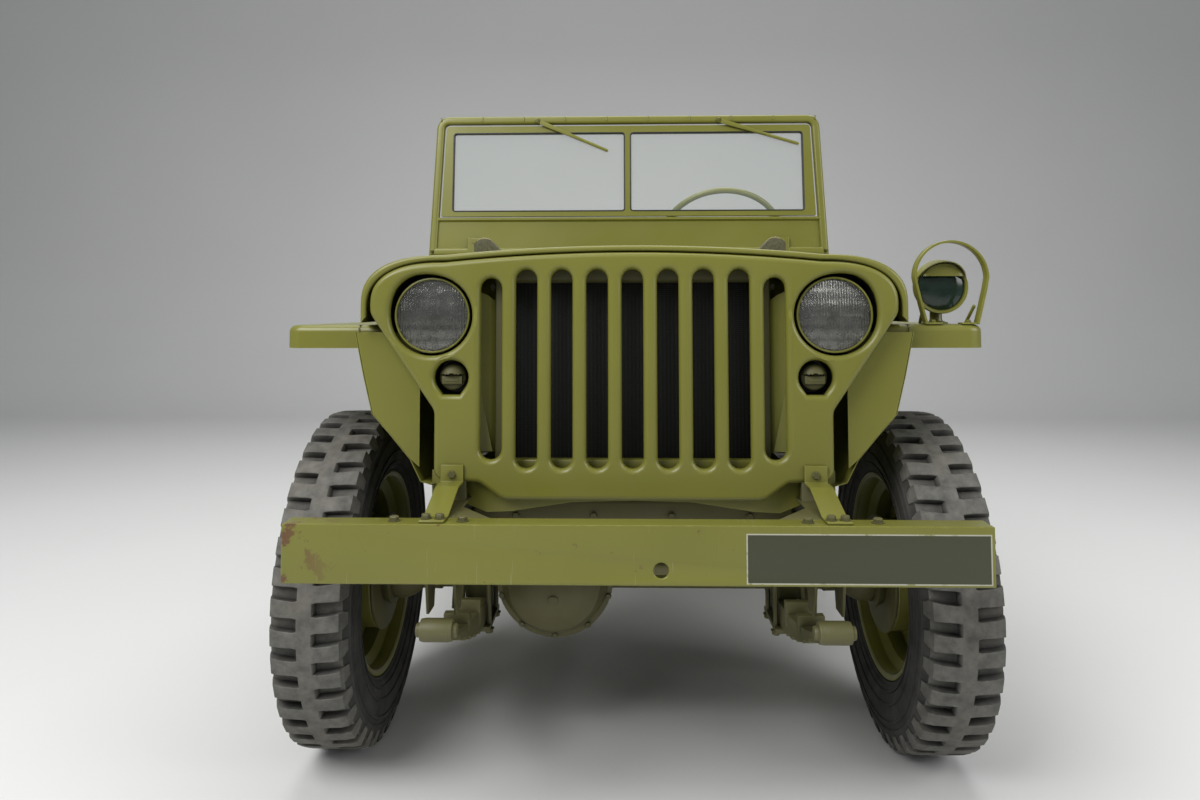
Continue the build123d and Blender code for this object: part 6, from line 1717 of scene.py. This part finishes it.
@mesh_builder("body_beads")
def body_bead_mesh(bm):
    for side in (1, -1):
        x = side * BODY_X
        tube(bm, rounded_path([(x, 0.308, 0.800), (x, 0.330, 0.885), (x, 0.392, BEAD_Z),
                               (x, TAIL_Y - 0.001, BEAD_Z)], 0.03, 5), 0.0052, 10)
    tube(bm, [(-BODY_X, TAIL_Y - 0.002, BEAD_Z), (BODY_X, TAIL_Y - 0.002, BEAD_Z)], 0.0052, 10)
    for side in (1, -1):
        # Wheel arch bead and a pressed line along the side
        arch = [(0.452, 0.560), (0.492, 0.712), (0.600, 0.8165), (1.134, 0.8165), (1.242, 0.712),
                (1.284, 0.616)]
        tube(bm, rounded_path([(side * 0.7252, y, z) for y, z in arch], 0.05, 6), 0.0048, 10)
        for y in (0.60, 0.86, 1.12, 1.36):
            rounded_box(bm, (side * 0.7262, y, 0.928), (0.003, 0.034, 0.012), radius=0.001)
            tube(bm, rounded_path([(side * 0.7262, y - 0.012, 0.928), (side * 0.7390, y - 0.012, 0.928),
                                   (side * 0.7390, y + 0.012, 0.928), (side * 0.7262, y + 0.012, 0.928)],
                                   0.005, 3), 0.0018, 7)


@mesh_builder("tail_ribs")
def tail_rib_mesh(bm):
    for z in (0.690, 0.760):
        rounded_box(bm, (0, TAIL_Y + 0.0010, z), (0.96, 0.0155, 0.032), radius=0.0075, segments=4)
    for side in (1, -1):
        rounded_box(bm, (side * 0.690, TAIL_Y + 0.0012, 0.790), (0.040, 0.005, 0.300), radius=0.002)
        for z in (0.66, 0.74, 0.82, 0.90):
            rivet(bm, (side * 0.690, TAIL_Y + 0.0036, z), BACKWARD, 0.006)


@mesh_builder("tail_lamp_bodies")
def tail_lamp_mesh(bm):
    for side in (1, -1):
        at = (side * TAIL_LAMP_X, TAIL_Y + 0.0005, TAIL_LAMP_Z)
        lathe(bm, mm_pairs(0.1, 44.5, 26, 44, 34.5, 41, 37.8, 35, 37.8, 29, 35, 27, 35, 8, 37.8, 5, 37.8, 0,
                           0.1, 0), at, BACKWARD, 44)
        for a in (0.6, 2.5):
            rivet(bm, (side * TAIL_LAMP_X + 0.031 * cos(a), TAIL_Y + 0.0425, TAIL_LAMP_Z - 0.031 * sin(a)),
                  BACKWARD, 0.0032)


@mesh_builder("tail_lenses")
def tail_lens_mesh(bm):
    for side in (1, -1):
        for z in (0.811, 0.789):
            rounded_box(bm, (side * TAIL_LAMP_X, TAIL_Y + 0.0442, z), (0.034, 0.0026, 0.0085), radius=0.0012)


add_shaded("body_beads", body_bead_mesh(), PAINT, angle=45)
add_shaded("tail_ribs", tail_rib_mesh(), PAINT, angle=45)
add_shaded("tail_lamp_bodies", tail_lamp_mesh(), PAINT, replaces=["tail_lamps"], angle=45)
add_shaded("tail_lenses", tail_lens_mesh(), RED_GLASS, angle=45)

HOOD_PIVOT = joint_place("hood_hinge")


@mesh_builder("hinge_knuckles")
def hinge_knuckle_mesh(bm, first):
    """Every second knuckle of the hood's hinge, from the first one given."""
    for k in range(first, 12, 2):
        lathe(bm, mm_pairs(0.1, -34, 4.2, -34, 4.8, -33, 4.8, 33, 4.2, 34, 0.1, 34),
              (-0.396 + 0.072 * k, HOOD_PIVOT.y, HOOD_PIVOT.z), ACROSS, 14)


for first, body in enumerate(("hood", "chassis")):
    add_shaded("hinge_knuckles_" + body, hinge_knuckle_mesh(first), PAINT, body, angle=45)


# Engine under the hood: head, manifold, air cleaner, hoses, fan and battery

@mesh_builder("engine_top")
def engine_mesh(bm):
    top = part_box("power_unit")[1][2]
    rounded_box(bm, (0.0, -0.960, top + 0.012), (0.170, 0.520, 0.026), radius=0.006)
    for k in range(7):
        for x in (-0.062, 0.062):
            hex_bolt(bm, (x, -1.170 + 0.070 * k, top + 0.025), UPWARD, 0.016, 0.009)
    for k in range(4):
        lathe(bm, mm_pairs(12, 0, 12, 12, 8, 14, 8, 34, 5, 40, 0.1, 41),
              (0.0, -1.130 + 0.115 * k, top + 0.025), UPWARD, 14)
    tube(bm, rounded_path([(0.0, -1.160, top + 0.020), (0.0, -1.205, top + 0.040),
                           (0.0, -1.300, top + 0.060)], 0.03, 6), 0.021, 16)


FAN_Y, FAN_Z, FAN_R = -1.262, 0.830, 0.095
CLEANER_X, CLEANER_Y = -0.330, -0.780


@mesh_builder("engine_bay")
def bay_mesh(bm):
    lathe(bm, mm_pairs(0.1, 130, 60, 130, 75, 122, 78, 110, 78, 30, 70, 24, 70, 0, 0.1, 0),
          (CLEANER_X, CLEANER_Y, 0.800), UPWARD, 36)
    tube(bm, rounded_path([(CLEANER_X, CLEANER_Y, 0.915), (CLEANER_X, CLEANER_Y, 0.980),
                           (-0.180, -0.860, 0.990), (-0.110, -0.900, 0.940)], 0.05, 6),
         0.024, 16)
    rounded_box(bm, (0.330, -0.760, 0.860), (0.170, 0.230, 0.200), radius=0.008)
    for y in (-0.82, -0.70):
        lathe(bm, mm_pairs(10, 0, 9, 16, 0.1, 17), (0.330, y, 0.960), UPWARD, 16)
    for k in range(4):
        a = pi / 2 * k + 0.4
        rounded_box(bm, (FAN_R * cos(a), FAN_Y, FAN_Z + FAN_R * sin(a)), (0.150, 0.004, 0.055),
                    Matrix.Rotation(-a, 3, "Y") @ Matrix.Rotation(0.35, 3, "X"), 0.0015)
    lathe(bm, mm_pairs(0.1, 12, 34, 10, 36, -20, 0.1, -22), (0, FAN_Y, FAN_Z), FORWARD, 24)


add_shaded("engine_top", engine_mesh(), CHASSIS)
add_shaded("engine_bay", bay_mesh(), BLACK)


# Firewall and toe boards that close the footwells

@mesh_builder("toe_boards")
def toe_board_mesh(bm):
    rows = [[(x, y, z) for x in (-0.645, 0.645)]
            for y, z in ((-0.4930, 0.870), (-0.4930, 0.655), (-0.4860, 0.635), (-0.400, 0.572),
                         (-0.390, 0.569))]
    skin(bm, rows)
    for side in (1, -1):
        for x in (0.30, 0.52):
            rounded_box(bm, (side * x, -0.4905, 0.765), (0.014, 0.006, 0.150), radius=0.0028)


add_shaded("toe_boards", toe_board_mesh(), PAINT, modifiers=[sheet(0.002, 0.0)])


# Floor, light and camera

FOCAL = 862.0 / 1200.0      # focal length in image widths
SENSOR = 36.0
CAMERA_AT = (-0.022, -3.159, 0.949)
CAMERA_YAW = -0.0245
CAMERA_PITCH = 0.0506
CAMERA_ROLL = -0.0014
CAMERA_SHIFT_Y = -0.110


# The floor runs back to SWEEP_Y and rises in a curve to the wall
STAGE_SIZE, SWEEP_Y, SWEEP_R, WALL_TOP = 70.0, 4.6, 1.6, 9.0


def add_stage():
    path = [(-STAGE_SIZE, 0.0), (SWEEP_Y, 0.0)]
    path += [(SWEEP_Y + SWEEP_R * sin(a), SWEEP_R - SWEEP_R * cos(a))
             for a in (0.25, 0.5, 0.8, 1.1, 1.4, 1.57)]
    path += [(SWEEP_Y + SWEEP_R, WALL_TOP)]
    mesh = mesh_of("studio_sweep", lambda bm: skin(bm,
                                                   [[(x, y, z) for x in (-STAGE_SIZE, STAGE_SIZE)] for y,
                                                    z in path]))
    floor = bpy.data.objects.new("studio_sweep", mesh)
    bpy.context.scene.collection.objects.link(floor)
    s = Shader("studio_floor")
    s.set(Base_Color=s.mix(s.noise(0.6, 2), (0.60, 0.60, 0.59), (0.64, 0.64, 0.63)), Roughness=0.8)
    mesh.materials.append(s.material)
    mesh.shade_smooth()


def add_area(name, at, target, size, power):
    light = bpy.data.lights.new(name, "AREA")
    light.shape = "RECTANGLE"
    light.size, light.size_y = size
    light.energy = power
    obj = bpy.data.objects.new(name, light)
    bpy.context.scene.collection.objects.link(obj)
    obj.location = at
    obj.rotation_euler = (Vector(target) - Vector(at)).to_track_quat("-Z", "Y").to_euler()


def add_light():
    add_area("key", (-2.6, -4.2, 4.2), (0, -1.0, 0.6), (3.0, 3.0), 262)
    add_area("fill", (4.2, -3.2, 2.6), (0, -0.8, 0.6), (3.0, 2.4), 105)
    add_area("top", (0, 0.4, 4.6), (0, -0.2, 0), (4.5, 4.5), 170)
    world = bpy.data.worlds.new("studio")
    world.use_nodes = True
    world.node_tree.nodes["Background"].inputs[0].default_value = (0.75, 0.78, 0.80, 1)
    world.node_tree.nodes["Background"].inputs[1].default_value = 0.35
    bpy.context.scene.world = world


def add_camera():
    data = bpy.data.cameras.new("photo_camera")
    camera = bpy.data.objects.new("photo_camera", data)
    bpy.context.scene.collection.objects.link(camera)
    data.sensor_width = SENSOR
    data.sensor_fit = "HORIZONTAL"
    data.lens = SENSOR * FOCAL
    data.shift_y = CAMERA_SHIFT_Y
    data.clip_start = 0.05
    aim = Vector((sin(CAMERA_YAW) * cos(CAMERA_PITCH), cos(CAMERA_YAW) * cos(CAMERA_PITCH),
                  sin(CAMERA_PITCH)))
    camera.rotation_euler = (aim.to_track_quat("-Z", "Y").to_matrix() @ Matrix.Rotation(CAMERA_ROLL, 3,
                                                                                        "Z")).to_euler()
    camera.location = CAMERA_AT
    bpy.context.scene.camera = camera


add_stage()
add_light()
add_camera()
bpy.context.scene.view_settings.view_transform = "Standard"
